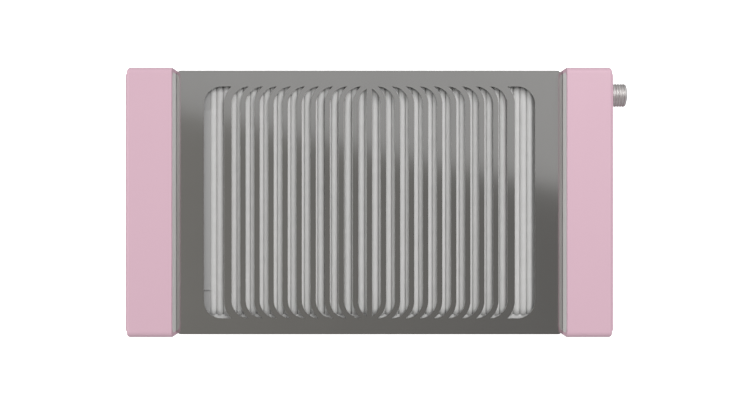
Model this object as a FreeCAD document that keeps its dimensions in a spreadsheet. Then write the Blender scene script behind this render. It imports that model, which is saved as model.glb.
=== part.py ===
"""Desktop dust collector for nail work, in millimetres.

A pleated filter lies under a slotted steel cover between two moulded end caps. Two centrifugal
blowers below the filter draw the dust down through the slots and blow out of the rear wall.

The frame: +Z is up, -Y is the side that the client sits at and +X is the side with the knob.
The origin is on the desk, under the middle of the body.
"""
import FreeCAD, Part
import Sketcher
import math
import operator
import os
import sys
import types

os.makedirs("parts", exist_ok=True)
doc = FreeCAD.newDocument("NailDustCollector")

# ---------------------------------------------------------------- driving dimensions

DIMENSIONS = {
    # end caps, their outer panels and the plates on their inner faces
    "case_top": 90.0,
    "case_bottom": 6.0,
    "case_depth": 182.2,
    "cap_inner": 133.2,
    "cap_outer": 163.8,
    "cap_corner": 4.0,
    "cap_edge": 2.0,
    "cap_wall": 3.4,
    "cap_floor": 2.4,
    "panel_face": 165.0,
    "panel_thickness": 3.2,
    "panel_gap": 0.2,
    "panel_edge": 0.8,
    "plate_thickness": 1.2,
    "plate_top_inset": 3.0,
    "plate_end_inset": 2.5,
    "plate_corner": 5.0,
    # slotted cover
    "cover_drop": 16.6,
    "cover_thickness": 1.5,
    "cover_length": 265.6,
    "cover_depth": 181.8,
    "cover_corner": 3.0,
    "lip_drop": 8.0,
    "lip_relief": 5.0,
    "magnet_radius": 5.0,
    "magnet_height": 2.0,
    "slot_length": 159.8,
    "slot_width": 6.08,
    "slot_bar": 3.6,
    "slot_bend": 12.17,
    "slot_count": 10,
    "end_bar": 5.1,
    "end_slot": 14.0,
    # folded tray and fan deck
    "sheet": 1.2,
    "tray_depth": 178.4,
    "tray_bend": 2.4,
    "tray_gap": 0.1,
    "deck_top": 41.2,
    "flange_width": 12.0,
    "flange_reach": 66.0,
    "tab_start": 74.0,
    "tab_bottom": 50.0,
    "exhaust_slot": 4.0,
    "exhaust_pitch": 7.2,
    "exhaust_count": 7,
    "exhaust_bottom": 14.0,
    "exhaust_top": 34.0,
    # filter
    "filter_length": 237.2,
    "filter_depth": 170.0,
    "seat_height": 4.0,
    "seat_width": 5.0,
    "gasket_height": 2.0,
    "rail_gap": 0.3,
    "rail_lip": 1.0,
    "frame_top": 67.4,
    "pleat_top": 68.4,
    "pleat_bottom": 48.4,
    "pleat_pitch": 4.75,
    "pleat_count": 47,
    "pleat_start": -109.4,
    "pleat_front": -78.3,
    "pleat_rear": 81.7,
    "paper": 0.5,
    "strip_front": -61.0,
    "strip_rear": 64.0,
    "strip_height": 1.6,
    # blowers
    "blower_x": 60.2,
    "blower_y": 24.0,
    "blower_size": 118.0,
    "blower_corner": 16.0,
    "blower_bottom": 8.4,
    "blower_top": 40.0,
    "blower_wall": 2.0,
    "scroll_radius": 53.0,
    "scroll_shift": 2.5,
    "outlet_shift": 17.0,
    "outlet_width": 50.0,
    "wheel_radius": 44.0,
    "wheel_bottom": 12.4,
    "wheel_top": 36.0,
    "blade_count": 32,
    "eye_radius": 38.0,
    "hub_radius": 22.0,
    "shaft_radius": 1.5,
    "shaft_play": 0.03,
    "tube_radius": 5.5,
    "tube_bore": 4.0,
    # screws and feet
    "thread": 1.5,
    "thread_hole": 1.65,
    "head_radius": 2.75,
    "head_height": 2.0,
    "foot_x": 123.0,
    "foot_y": 78.0,
    "foot_radius": 9.0,
    # knob and regulator
    "knob_y": 75.0,
    "knob_z": 60.0,
    "knob_radius": 8.0,
    "knob_tip": 179.2,
    "knob_gap": 0.5,
    "knob_groove": 1.9,
    "groove_count": 6,
    "pot_radius": 8.2,
    "pot_face": 160.2,
    "pot_depth": 10.0,
    "bush_radius": 3.5,
    "spindle_radius": 3.0,
    "nut_room": 6.2,
    "board_thickness": 1.6,
    # mains inlet
    "inlet_x": 149.4,
    "inlet_z": 31.0,
    "inlet_width": 20.0,
    "inlet_height": 27.6,
    "inlet_flange": 1.8,
    "inlet_depth": 20.0,
    "inlet_well": 15.5,
}

sheet = doc.addObject("Spreadsheet::Sheet", "Dims")
for row, (alias, number) in enumerate(DIMENSIONS.items(), start=1):
    sheet.set(f"A{row}", alias)
    sheet.set(f"B{row}", str(number))
    sheet.setAlias(f"B{row}", alias)
doc.recompute()

OPERATIONS = {"+": operator.add, "-": operator.sub, "*": operator.mul, "/": operator.truediv}


class Size:
    """A number of millimetres that keeps the sheet formula it comes from."""

    def __init__(self, value, formula=None):
        self.value = float(value)
        self.formula = formula or repr(self.value)

    def join(self, other, symbol, swapped=False):
        other = size(other)
        left, right = (other, self) if swapped else (self, other)
        value = OPERATIONS[symbol](left.value, right.value)
        return Size(value, f"({left.formula} {symbol} {right.formula})")

    def __add__(self, other):
        return self.join(other, "+")

    def __radd__(self, other):
        return self.join(other, "+", swapped=True)

    def __sub__(self, other):
        return self.join(other, "-")

    def __rsub__(self, other):
        return self.join(other, "-", swapped=True)

    def __mul__(self, other):
        return self.join(other, "*")

    def __rmul__(self, other):
        return self.join(other, "*", swapped=True)

    def __truediv__(self, other):
        return self.join(other, "/")

    def __neg__(self):
        return self.join(-1, "*")

    def root(self):
        return Size(math.sqrt(self.value), f"sqrt({self.formula})")


def size(thing):
    return thing if isinstance(thing, Size) else Size(thing)


def order(first, second):
    first, second = size(first), size(second)
    return (first, second) if first.value <= second.value else (second, first)


D = types.SimpleNamespace(
    **{alias: Size(sheet.get(alias), f"Dims.{alias}") for alias in DIMENSIONS}
)

# ---------------------------------------------------------------- drawing in sketches

LINE_START, LINE_END, CENTRE = 1, 2, 3
HORIZONTAL_AXIS, VERTICAL_AXIS = -1, -2


def bind(sketch, kind, edge, point, length):
    """Adds one dimension to a sketch and ties it to its sheet formula."""
    where = (edge,) if point is None else (edge, point)
    number = sketch.addConstraint(Sketcher.Constraint(kind, *where, length.value))
    sketch.setExpression(f"Constraints[{number}]", length.formula)


def pin_point(sketch, edge, point, x, y):
    """Holds a point of an edge at (x, y)."""
    x, y = size(x), size(y)
    for kind, length, axis in (("DistanceX", x, VERTICAL_AXIS), ("DistanceY", y, HORIZONTAL_AXIS)):
        if length.value == 0:
            sketch.addConstraint(Sketcher.Constraint("PointOnObject", edge, point, axis))
        else:
            bind(sketch, kind, edge, point, length)


def vector(x, y, z=0):
    return FreeCAD.Vector(size(x).value, size(y).value, size(z).value)


def circle(x, y, radius):
    """A full circle."""

    def draw(sketch):
        shape = Part.Circle(vector(x, y), FreeCAD.Vector(0, 0, 1), size(radius).value)
        edge = sketch.addGeometry(shape, False)
        pin_point(sketch, edge, CENTRE, x, y)
        bind(sketch, "Radius", edge, None, size(radius))

    return draw


def polygon(*points):
    """A closed outline with straight sides through the points."""

    def draw(sketch):
        count = len(points)
        edges = [
            sketch.addGeometry(Part.LineSegment(vector(*a), vector(*b)), False)
            for a, b in zip(points, points[1:] + points[:1])
        ]
        for index, edge in enumerate(edges):
            following = edges[(index + 1) % count]
            sketch.addConstraint(
                Sketcher.Constraint("Coincident", edge, LINE_END, following, LINE_START)
            )
            pin_point(sketch, edge, LINE_START, *points[index])

    return draw


def rectangle(x0, y0, x1, y1, radius=0):
    """A rectangle between two corners, with its own corners rounded where a radius is given."""
    (x0, x1), (y0, y1) = order(x0, x1), order(y0, y1)
    radius = size(radius)
    if radius.value == 0:
        return polygon((x0, y0), (x1, y0), (x1, y1), (x0, y1))

    def draw(sketch):
        left, right, low, high, bend = (s.value for s in (x0, x1, y0, y1, radius))
        runs = (
            ((left + bend, low), (right - bend, low)),
            ((right, low + bend), (right, high - bend)),
            ((right - bend, high), (left + bend, high)),
            ((left, high - bend), (left, low + bend)),
        )
        centres = (
            (right - bend, low + bend),
            (right - bend, high - bend),
            (left + bend, high - bend),
            (left + bend, low + bend),
        )
        lines = [
            sketch.addGeometry(Part.LineSegment(vector(*a), vector(*b)), False) for a, b in runs
        ]
        arcs = []
        for turn, centre in enumerate(centres):
            ring = Part.Circle(vector(*centre), FreeCAD.Vector(0, 0, 1), bend)
            start = math.radians(90 * turn - 90)
            arcs.append(
                sketch.addGeometry(Part.ArcOfCircle(ring, start, start + math.pi / 2), False)
            )
        for turn, (line, arc) in enumerate(zip(lines, arcs)):
            following = lines[(turn + 1) % 4]
            level = "Horizontal" if turn % 2 == 0 else "Vertical"
            for constraint in (
                Sketcher.Constraint(level, line),
                Sketcher.Constraint("Tangent", line, LINE_END, arc, LINE_START),
                Sketcher.Constraint("Tangent", arc, LINE_END, following, LINE_START),
            ):
                sketch.addConstraint(constraint)
            if arc != arcs[0]:
                sketch.addConstraint(Sketcher.Constraint("Equal", arcs[0], arc))
        bind(sketch, "Radius", arcs[0], None, radius)
        sides = (("DistanceY", y0), ("DistanceX", x1), ("DistanceY", y1), ("DistanceX", x0))
        for line, (kind, place) in zip(lines, sides):
            bind(sketch, kind, line, LINE_START, place)

    return draw


def bent_slot(left, right, end, bend, far_bend=None, end_run=False):
    """A long slot along the sketch's second axis, the same at both ends.

    Its left side bends in over each end with radius bend. Its right side follows the bar beside
    it, which bends the same way with radius far_bend, and without one it stays straight and cuts
    the left bend off. With an end_run the end is straight between the two bends.
    """
    centre, level = left + bend, end - bend
    if far_bend is None:
        tip = right
    elif end_run:
        tip = right + far_bend - (far_bend * far_bend - bend * bend).root()
    else:
        gap = right + far_bend - centre
        tip = centre + (bend * bend - far_bend * far_bend + gap * gap) / (gap * 2)
    reach = (bend * bend - (tip - centre) * (tip - centre)).root() if not end_run else bend

    def arc(sketch, middle, height, radius, start, finish):
        """Adds an arc that turns anticlockwise between two points."""
        hub = vector(middle, height)
        angles = [math.atan2((p - hub).y, (p - hub).x) % (2 * math.pi) for p in (start, finish)]
        ring = Part.Circle(hub, FreeCAD.Vector(0, 0, 1), radius.value)
        edge = sketch.addGeometry(Part.ArcOfCircle(ring, *angles), False)
        bind(sketch, "Radius", edge, None, radius)
        return edge

    def line(sketch, start, finish, level_kind, kind, place):
        """Adds a level or upright line and pins it at a place."""
        edge = sketch.addGeometry(Part.LineSegment(start, finish), False)
        sketch.addConstraint(Sketcher.Constraint(level_kind, edge))
        bind(sketch, kind, edge, LINE_START, place)
        return edge

    def draw(sketch):
        high_tip, low_tip = vector(tip, level + reach), vector(tip, -level - reach)
        high_turn = vector(centre, end) if end_run else high_tip
        low_turn = vector(centre, -end) if end_run else low_tip
        upper = arc(sketch, centre, level, bend, high_turn, vector(left, level))
        side = line(
            sketch, vector(left, level), vector(left, -level), "Vertical", "DistanceX", left
        )
        lower = arc(sketch, centre, -level, bend, vector(left, -level), low_turn)
        joints = [
            ("Tangent", upper, LINE_END, side, LINE_START),
            ("Tangent", side, LINE_END, lower, LINE_START),
        ]
        last, first = (lower, LINE_END), (upper, LINE_START)
        if end_run:
            run = line(sketch, low_turn, low_tip, "Horizontal", "DistanceY", -end)
            joints.append(("Tangent", *last, run, LINE_START))
            last = (run, LINE_END)
            run = line(sketch, high_tip, high_turn, "Horizontal", "DistanceY", end)
            joints.append(("Tangent", run, LINE_END, *first))
            first = (run, LINE_START)
        else:
            bind(sketch, "DistanceY", upper, CENTRE, level)
            bind(sketch, "DistanceY", lower, CENTRE, -level)
        foot = vector(right, -level) if far_bend else low_tip
        head = vector(right, level) if far_bend else high_tip
        far = line(sketch, foot, head, "Vertical", "DistanceX", right)
        if far_bend:
            hub = right + far_bend
            low_far = arc(sketch, hub, -level, far_bend, foot, low_tip)
            high_far = arc(sketch, hub, level, far_bend, high_tip, head)
            bind(sketch, "DistanceY", low_far, CENTRE, -level)
            bind(sketch, "DistanceY", high_far, CENTRE, level)
            joints.append(("Coincident", *last, low_far, LINE_END))
            joints.append(("Tangent", low_far, LINE_START, far, LINE_START))
            joints.append(("Tangent", far, LINE_END, high_far, LINE_END))
            joints.append(("Coincident", high_far, LINE_START, *first))
        else:
            joints.append(("Coincident", *last, far, LINE_START))
            joints.append(("Coincident", far, LINE_END, *first))
        for joint in joints:
            sketch.addConstraint(Sketcher.Constraint(*joint))

    return draw


# ---------------------------------------------------------------- pieces

PIECES = {}
# the origin plane that each sketch lies on, and which way its normal points along the axis
PLANES = {"X": ("YZ_Plane", 1), "Y": ("XZ_Plane", -1), "Z": ("XY_Plane", 1)}


class Piece:
    """One piece of the object: a body that pads, pockets and turned profiles build up."""

    def __init__(self, node):
        self.body = doc.addObject("PartDesign::Body", node)
        self.body.Label = node
        self.body.AllowCompound = True
        PIECES[node] = self.body

    def sketch(self, axis, at, outlines, across=0, up=0):
        """A sketch square to an axis, at a place along it, with its own origin moved if asked."""
        role, facing = PLANES[axis]
        plane = next(o for o in self.body.Origin.OriginFeatures if o.Role == role)
        sketch = self.body.newObject("Sketcher::SketchObject", f"{self.body.Name}_sketch")
        sketch.AttachmentSupport = [(plane, "")]
        sketch.MapMode = "FlatFace"
        for part, place in zip("xyz", (size(across), size(up), size(at) * facing)):
            sketch.setExpression(f"AttachmentOffset.Base.{part}", place.formula)
        for outline in outlines:
            outline(sketch)
        return sketch

    def extrude(self, kind, axis, low, high, outlines, across=0, up=0):
        low, high = order(low, high)
        facing = PLANES[axis][1]
        start = low if facing > 0 else high
        sketch = self.sketch(axis, start, outlines, across, up)
        feature = self.body.newObject(f"PartDesign::{kind}", f"{self.body.Name}_{kind}")
        feature.Profile = sketch
        feature.Reversed = kind == "Pocket"
        feature.setExpression("Length", (high - low).formula)
        sketch.Visibility = False
        return feature

    def add(self, axis, low, high, *outlines, **place):
        """Adds material between two places along an axis."""
        return self.extrude("Pad", axis, low, high, outlines, **place)

    def cut(self, axis, low, high, *outlines, **place):
        """Takes material away between two places along an axis, and checks that some went."""
        doc.recompute()
        before = self.body.Shape.Volume
        feature = self.extrude("Pocket", axis, low, high, outlines, **place)
        doc.recompute()
        if self.body.Shape.Volume > before - 1e-3:
            sys.exit(f"a pocket in {self.body.Label} cuts nothing")
        return feature

    def turn(self, axis, centre, outline, kind="Revolution"):
        """Turns an outline, drawn as (along, out) from the axis, once round an axis."""
        one, two = (size(c) for c in centre)
        if axis == "Z":
            sketch = self.sketch("Y", two, [outline], across=one)
            reference = "V_Axis"
        elif axis == "X":
            sketch = self.sketch("Y", one, [outline], up=two)
            reference = "H_Axis"
        else:
            sketch = self.sketch("X", one, [outline], up=two)
            reference = "H_Axis"
        feature = self.body.newObject(f"PartDesign::{kind}", f"{self.body.Name}_{kind}")
        feature.Profile = sketch
        feature.ReferenceAxis = (sketch, [reference])
        feature.Angle = 360.0
        return feature

    def soften(self, kind, length, choose):
        """Fillets or chamfers the edges that choose picks."""
        doc.recompute()
        tip = self.body.Tip
        names = [f"Edge{i}" for i, edge in enumerate(tip.Shape.Edges, start=1) if choose(edge)]
        feature = self.body.newObject(f"PartDesign::{kind}", f"{self.body.Name}_{kind}")
        feature.Base = (tip, names)
        prop = "Radius" if kind == "Fillet" else "Size"
        feature.setExpression(prop, size(length).formula)
        return feature

    def pattern(self, kind, originals, **settings):
        """Repeats features and makes the result the body's own shape."""
        feature = self.body.newObject(f"PartDesign::{kind}", f"{self.body.Name}_{kind}")
        feature.Originals = originals
        for name, value in settings.items():
            if isinstance(value, Size):
                feature.setExpression(name, value.formula)
            else:
                setattr(feature, name, value)
        self.body.Tip = feature
        return feature

    def plane(self, role):
        return next(o for o in self.body.Origin.OriginFeatures if o.Role == role)

    def mirror(self, originals):
        """Repeats features on the other side of the middle plane x = 0."""
        self.pattern("Mirrored", originals, MirrorPlane=(self.plane("YZ_Plane"), [""]))

    def row_and_mirror(self, original, length, count):
        """Repeats a feature in a row towards -X, and the row on the other side of x = 0."""
        row = self.body.newObject("PartDesign::LinearPattern", f"{self.body.Name}_row")
        row.Direction = (original.Profile[0], ["H_Axis"])
        row.Reversed = True
        row.setExpression("Length", length.formula)
        row.Occurrences = count
        twin = self.body.newObject("PartDesign::Mirrored", f"{self.body.Name}_twin")
        twin.MirrorPlane = (self.plane("YZ_Plane"), [""])
        self.pattern("MultiTransform", [original], Transformations=[row, twin])


def lies_at(axis, place):
    """Picks the edges that lie wholly in the plane at a place along an axis."""
    low, high = {"X": ("XMin", "XMax"), "Y": ("YMin", "YMax"), "Z": ("ZMin", "ZMax")}[axis]
    want = size(place).value

    def choose(edge):
        box = edge.BoundBox
        return abs(getattr(box, low) - want) < 1e-4 and abs(getattr(box, high) - want) < 1e-4

    return choose


def hexagon(x, y, radius):
    """A regular hexagon with its corners at a radius."""
    x, y = size(x), size(y)
    half, rise = radius * 0.5, radius * math.sqrt(0.75)
    steps = (
        (radius, 0),
        (half, rise),
        (-half, rise),
        (-radius, 0),
        (-half, -rise),
        (half, -rise),
    )
    return polygon(*((x + across, y + up) for across, up in steps))


def screws(node, axis, places, under_head, tip):
    """A set of identical pan-head socket screws, their heads beyond under_head, away from tip."""
    piece = Piece(node)
    outward = 1 if size(under_head).value > size(tip).value else -1
    crown = under_head + outward * D.head_height
    piece.add(axis, under_head, crown, *(circle(x, y, D.head_radius) for x, y in places))
    piece.add(axis, under_head, tip, *(circle(x, y, D.thread) for x, y in places))
    piece.soften("Fillet", 0.7, lies_at(axis, crown))
    socket = crown - outward * D.head_height * 0.6
    piece.cut(axis, socket, crown, *(hexagon(x, y, D.head_radius * 0.4) for x, y in places))
    return piece


def corners(x, y):
    """The four places at plus or minus x and y."""
    return [(a * x, b * y) for a in (-1, 1) for b in (-1, 1)]


SIDES = {"left": -1, "right": 1}
# how far a feature runs into the one it joins or past the one it cuts
OVERLAP = 0.5
half_depth = D.case_depth / 2
half_tray = D.tray_depth / 2
cover_top = D.case_top - D.cover_drop
cover_under = cover_top - D.cover_thickness
tray_floor = D.case_bottom + D.sheet
plate_rim = D.cap_inner + D.plate_thickness
cap_floor_top = plate_rim + D.cap_floor
panel_back = D.panel_face - D.panel_thickness
filter_seat = D.deck_top + D.seat_height
filter_floor = filter_seat + D.gasket_height

# places of the screws that hold cap, side plate and tray together, and of the panels' pegs
CAP_SCREWS = [(60, 14), (81, 60)]
PANEL_PEGS = [(44, 16), (56, 76)]
PEG_LENGTH = 8
CABLE_HOLE = (-76, 27)
cap_screw_places = [(side * y, z) for side in (-1, 1) for y, z in CAP_SCREWS]
panel_peg_places = [(side * y, z) for side in (-1, 1) for y, z in PANEL_PEGS]


# ---------------------------------------------------------------- end caps


def case_outline(inset, radius):
    """The case's outline from the side, drawn smaller by an inset."""
    return rectangle(
        -half_depth + inset, D.case_bottom + inset, half_depth - inset, D.case_top - inset, radius
    )


def plate_outline(shrink=0):
    return rectangle(
        -half_depth + D.plate_end_inset + shrink,
        D.case_bottom + D.plate_end_inset + shrink,
        half_depth - D.plate_end_inset - shrink,
        D.case_top - D.plate_top_inset - shrink,
        D.plate_corner,
    )


def inlet_outline(grow, radius):
    """The mains inlet's upright outline on the rear wall, grown on every side."""
    half_width, half_height = D.inlet_width / 2 + grow, D.inlet_height / 2 + grow
    return rectangle(
        D.inlet_x - half_width,
        D.inlet_z - half_height,
        D.inlet_x + half_width,
        D.inlet_z + half_height,
        radius,
    )


def build_cap(name, side):
    """A moulded shell, open outwards, with screw bosses and a recess for the side plate."""
    cap = Piece(f"{name}_cap")
    outer = side * D.cap_outer
    cap.add("X", side * D.cap_inner, outer, case_outline(0, D.cap_corner))
    cap.soften("Fillet", D.cap_edge, lies_at("X", outer))
    cap.cut("X", side * cap_floor_top, outer, case_outline(D.cap_wall, D.cap_corner / 2))
    boss_radius, socket_radius, socket_depth = D.thread * 3, D.thread + 0.6, PEG_LENGTH + 1
    cap.add(
        "X",
        side * (cap_floor_top - OVERLAP),
        side * panel_back,
        *(circle(y, z, boss_radius) for y, z in panel_peg_places),
    )
    cap.cut(
        "X",
        side * (panel_back - socket_depth),
        side * panel_back,
        *(circle(y, z, socket_radius) for y, z in panel_peg_places),
    )
    cap.cut("X", side * D.cap_inner, side * plate_rim, plate_outline())
    cap.cut(
        "X",
        side * plate_rim,
        side * cap_floor_top,
        *(circle(y, z, D.thread_hole) for y, z in cap_screw_places),
    )
    if side > 0:
        cap.cut("X", plate_rim, cap_floor_top, circle(*CABLE_HOLE, 7))
        cap.cut("Y", half_depth - D.cap_wall, half_depth, inlet_outline(0, 1))
        cap.cut("Y", half_depth - D.inlet_flange, half_depth, inlet_outline(2.2, 1.5))


def build_side_panel(name, side):
    """The flat outer panel of a cap, pressed into the cap's bosses by four pegs."""
    panel = Piece(f"{name}_side_panel")
    inset = D.cap_wall + D.panel_gap
    face = side * D.panel_face
    panel.add("X", side * panel_back, face, case_outline(inset, D.cap_corner / 2))
    panel.soften("Fillet", D.panel_edge, lies_at("X", face))
    peg_radius = D.thread + 0.5
    panel.add(
        "X",
        side * (panel_back - PEG_LENGTH),
        side * (panel_back + OVERLAP),
        *(circle(y, z, peg_radius) for y, z in panel_peg_places),
    )
    if side > 0:
        panel.cut("X", panel_back, face, circle(D.knob_y, D.knob_z, D.bush_radius + 0.2))


def build_side_plate(name, side):
    """The coated steel plate that closes the tray's end and carries a cap."""
    plate = Piece(f"{name}_side_plate")
    plate.add("X", side * D.cap_inner, side * plate_rim, plate_outline(D.panel_gap / 4))
    plate.cut(
        "X",
        side * D.cap_inner,
        side * plate_rim,
        *(circle(y, z, D.thread_hole) for y, z in cap_screw_places),
    )
    if side > 0:
        plate.cut("X", D.cap_inner, plate_rim, circle(*CABLE_HOLE, 6.2))


for name, side in SIDES.items():
    build_cap(name, side)
    build_side_panel(name, side)
    build_side_plate(name, side)
    screws(
        f"{name}_cap_screws",
        "X",
        cap_screw_places,
        side * cap_floor_top,
        side * (D.cap_inner - D.sheet - 2),
    )


# ---------------------------------------------------------------- tray, deck and cover


def build_tray():
    """Stainless sheet folded into a trough: floor, front and rear wall, end flanges and tabs."""
    tray = Piece("chassis_tray")
    end = D.cap_inner - D.tray_gap
    wall_top = cover_under - D.tray_gap
    bend = D.tray_bend
    tray.add("X", -end, end, rectangle(-half_tray, D.case_bottom, half_tray, wall_top))
    tray.soften("Fillet", bend, folds_under)
    inner = half_tray - D.sheet
    tray.cut("X", -end, end, rectangle(-inner, tray_floor, inner, wall_top))
    tray.soften("Fillet", bend - D.sheet, inner_folds)
    for side in (-1, 1):
        outer, face = side * end, side * (end - D.sheet)
        flange_low, flange_high = tray_floor - OVERLAP, tray_floor + D.flange_width
        tray.add(
            "X",
            face,
            outer,
            rectangle(-D.flange_reach, flange_low, D.flange_reach, flange_high),
        )
        for hand in (-1, 1):
            edge, tab_top = hand * (inner + OVERLAP), wall_top - 3
            tray.add("X", face, outer, rectangle(hand * D.tab_start, D.tab_bottom, edge, tab_top))
        tray.cut("X", face, outer, *(circle(y, z, D.thread_hole) for y, z in cap_screw_places))
    tray.cut("Z", D.case_bottom, tray_floor, *(
        circle(x, y, D.thread_hole) for x, y in corners(D.foot_x, D.foot_y)
    ))
    for side in (-1, 1):
        middle = side * D.blower_x + D.outlet_shift
        slots = []
        for step in range(int(D.exhaust_count.value)):
            place = middle + (step - (D.exhaust_count.value - 1) / 2) * D.exhaust_pitch
            half = D.exhaust_slot / 2
            slots.append(
                rectangle(
                    place - half, D.exhaust_bottom, place + half, D.exhaust_top, half * 0.98
                )
            )
        tray.cut("Y", inner - OVERLAP, half_tray + OVERLAP, *slots)


def folds_under(edge):
    """The two long bottom edges of the trough's block."""
    box = edge.BoundBox
    return box.XLength > 100 and box.ZMax < D.case_bottom.value + 0.01


def inner_folds(edge):
    """The two long inside edges where the floor meets the walls."""
    box = edge.BoundBox
    near_wall = abs(abs(box.YMin) - (half_tray - D.sheet).value) < 0.01
    return box.XLength > 100 and near_wall and abs(box.ZMax - tray_floor.value) < 0.01


def build_deck():
    """The sheet under the filter, with an eye over each blower and a flange down at each end."""
    deck = Piece("fan_deck")
    end = D.cap_inner - D.tray_gap - D.sheet
    edge = half_tray - D.sheet - D.tray_gap
    under = D.deck_top - D.sheet
    deck.add("Z", under, D.deck_top, rectangle(-end, -edge, end, edge))
    for side in (-1, 1):
        deck.add(
            "X",
            side * (end - D.sheet),
            side * end,
            rectangle(-D.flange_reach, under - 10, D.flange_reach, under),
        )
        eye = circle(side * D.blower_x, D.blower_y, D.eye_radius + 2.5)
        deck.cut("Z", under, D.deck_top, eye)
        deck.cut("Z", under, D.deck_top, *blower_screw_holes(side))


def blower_screw_places(side):
    """The places of the four screws in the corners of one blower."""
    reach = D.blower_size / 2 - 9
    return [(side * D.blower_x + x, D.blower_y + y) for x, y in corners(reach, reach)]


def blower_screw_holes(side):
    return [circle(x, y, D.thread_hole) for x, y in blower_screw_places(side)]


def build_cover():
    """Polished steel plate with bent slots, and a lip folded down at the front and the rear."""
    cover = Piece("grille_cover")
    half_length, half = D.cover_length / 2, D.cover_depth / 2
    cover.add(
        "Z",
        cover_under,
        cover_top,
        rectangle(-half_length, -half, half_length, half, D.cover_corner),
    )
    for side in (-1, 1):
        reach = half_length - D.lip_relief
        cover.add(
            "Y",
            side * (half - D.cover_thickness),
            side * half,
            rectangle(-reach, cover_top - D.lip_drop, reach, cover_under),
        )
    end, bend, pitch = D.slot_length / 2, D.slot_bend, D.slot_width + D.slot_bar
    innermost = -D.slot_bar / 2 - D.slot_width
    second = innermost - pitch
    end_right = innermost - pitch * (D.slot_count - 1) - D.end_bar
    middle = cover.cut(
        "Z",
        cover_under,
        cover_top,
        bent_slot(innermost, innermost + D.slot_width, end, bend),
    )
    wide = cover.cut(
        "Z",
        cover_under,
        cover_top,
        bent_slot(end_right - D.end_slot, end_right, end, bend, bend + D.end_bar, True),
    )
    cover.mirror([middle, wide])
    inner = cover.cut(
        "Z",
        cover_under,
        cover_top,
        bent_slot(second, second + D.slot_width, end, bend, bend + D.slot_bar),
    )
    cover.row_and_mirror(inner, pitch * (D.slot_count - 2), int(D.slot_count.value) - 1)


build_tray()
build_deck()
build_cover()


# ---------------------------------------------------------------- cover catches

CATCH_PLACES = corners(125.4, 81)
BRACKET_INNER, BRACKET_LOW = 119.6, 53
BRACKET_NEAR, BRACKET_FAR = 75, 87


def build_catches():
    """Four angle brackets on the tray's tabs, each with a magnet that holds the cover down."""
    catches = Piece("magnet_brackets")
    magnets = Piece("cover_magnets")
    tab_face = D.cap_inner - D.tray_gap - D.sheet
    ledge = cover_under - D.magnet_height - D.tray_gap
    for side in (-1, 1):
        legs = [
            rectangle(hand * BRACKET_NEAR, BRACKET_LOW, hand * BRACKET_FAR, ledge)
            for hand in (-1, 1)
        ]
        catches.add("X", side * (tab_face - D.sheet), side * tab_face, *legs)
    shelves = [
        rectangle(
            side * BRACKET_INNER, hand * BRACKET_NEAR, side * tab_face, hand * BRACKET_FAR
        )
        for side in (-1, 1)
        for hand in (-1, 1)
    ]
    catches.add("Z", ledge - D.sheet, ledge, *shelves)
    upper = [place for place in cap_screw_places if place[1] == CAP_SCREWS[1][1]]
    for side in (-1, 1):
        catches.cut(
            "X",
            side * (tab_face - D.sheet),
            side * tab_face,
            *(circle(y, z, D.thread_hole) for y, z in upper),
        )
    magnets.add(
        "Z",
        ledge,
        ledge + D.magnet_height,
        *(circle(x, y, D.magnet_radius) for x, y in CATCH_PLACES),
    )
    magnets.soften("Chamfer", 0.3, lies_at("Z", ledge + D.magnet_height))


build_catches()

# ---------------------------------------------------------------- filter

half_filter, filter_side = D.filter_depth / 2, D.filter_length / 2
pleat_end = D.pleat_start + D.pleat_pitch * D.pleat_count


def filter_ring(node, low, high, width):
    """A flat ring with the filter's outline."""
    ring = Piece(node)
    ring.add(
        "Z",
        low,
        high,
        rectangle(-filter_side, -half_filter, filter_side, half_filter, 2),
        rectangle(
            -filter_side + width,
            -half_filter + width,
            filter_side - width,
            half_filter - width,
            1,
        ),
    )


def build_filter():
    """A white rigid frame, the folded paper in it and the strip that pulls it out."""
    frame = Piece("filter_frame")
    outline = rectangle(-filter_side, -half_filter, filter_side, half_filter, 2)
    frame.add("Z", filter_floor, D.frame_top, outline)
    lip = 3
    frame.cut(
        "Z",
        filter_floor,
        D.frame_top,
        rectangle(
            D.pleat_start + lip,
            D.pleat_front + lip,
            pleat_end - lip,
            D.pleat_rear - lip,
        ),
    )
    frame.cut(
        "Z",
        filter_floor + D.rail_lip,
        D.frame_top,
        rectangle(
            D.pleat_start - D.rail_gap,
            D.pleat_front - D.rail_gap,
            pleat_end + D.rail_gap * 3,
            D.pleat_rear + D.rail_gap,
        ),
    )

    pleats = Piece("filter_pleats")
    half, paper = D.pleat_pitch / 2, D.paper
    middle = D.pleat_start + half
    top, bottom = D.pleat_top, D.pleat_bottom
    ridge, valley = 0.9, 0.25
    fold = pleats.add(
        "Y",
        D.pleat_front,
        D.pleat_rear,
        polygon(
            (middle - half, bottom),
            (middle - half + valley + paper, bottom),
            (middle - ridge + paper, top - paper),
            (middle + ridge - paper, top - paper),
            (middle + half - valley - paper, bottom),
            (middle + half, bottom),
            (middle + half, bottom + paper),
            (middle + half - valley, bottom + paper),
            (middle + ridge, top),
            (middle - ridge, top),
            (middle - half + valley, bottom + paper),
            (middle - half, bottom + paper),
        ),
    )
    doc.recompute()
    pleats.pattern(
        "LinearPattern",
        [fold],
        Direction=(fold.Profile[0], ["H_Axis"]),
        Length=D.pleat_pitch * (D.pleat_count - 1),
        Occurrences=int(D.pleat_count.value),
    )

    strip = Piece("filter_pull_strip")
    strip.add(
        "Z",
        D.frame_top,
        D.frame_top + D.strip_height,
        rectangle(
            -filter_side + 1,
            D.strip_front,
            D.pleat_start - D.rail_gap * 2,
            D.strip_rear,
        ),
    )
    strip.soften("Fillet", 0.4, lies_at("Z", D.frame_top + D.strip_height))


filter_ring("filter_seat", D.deck_top, filter_seat, D.seat_width)
filter_ring("filter_gasket", filter_seat, filter_floor, D.seat_width)
build_filter()

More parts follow.
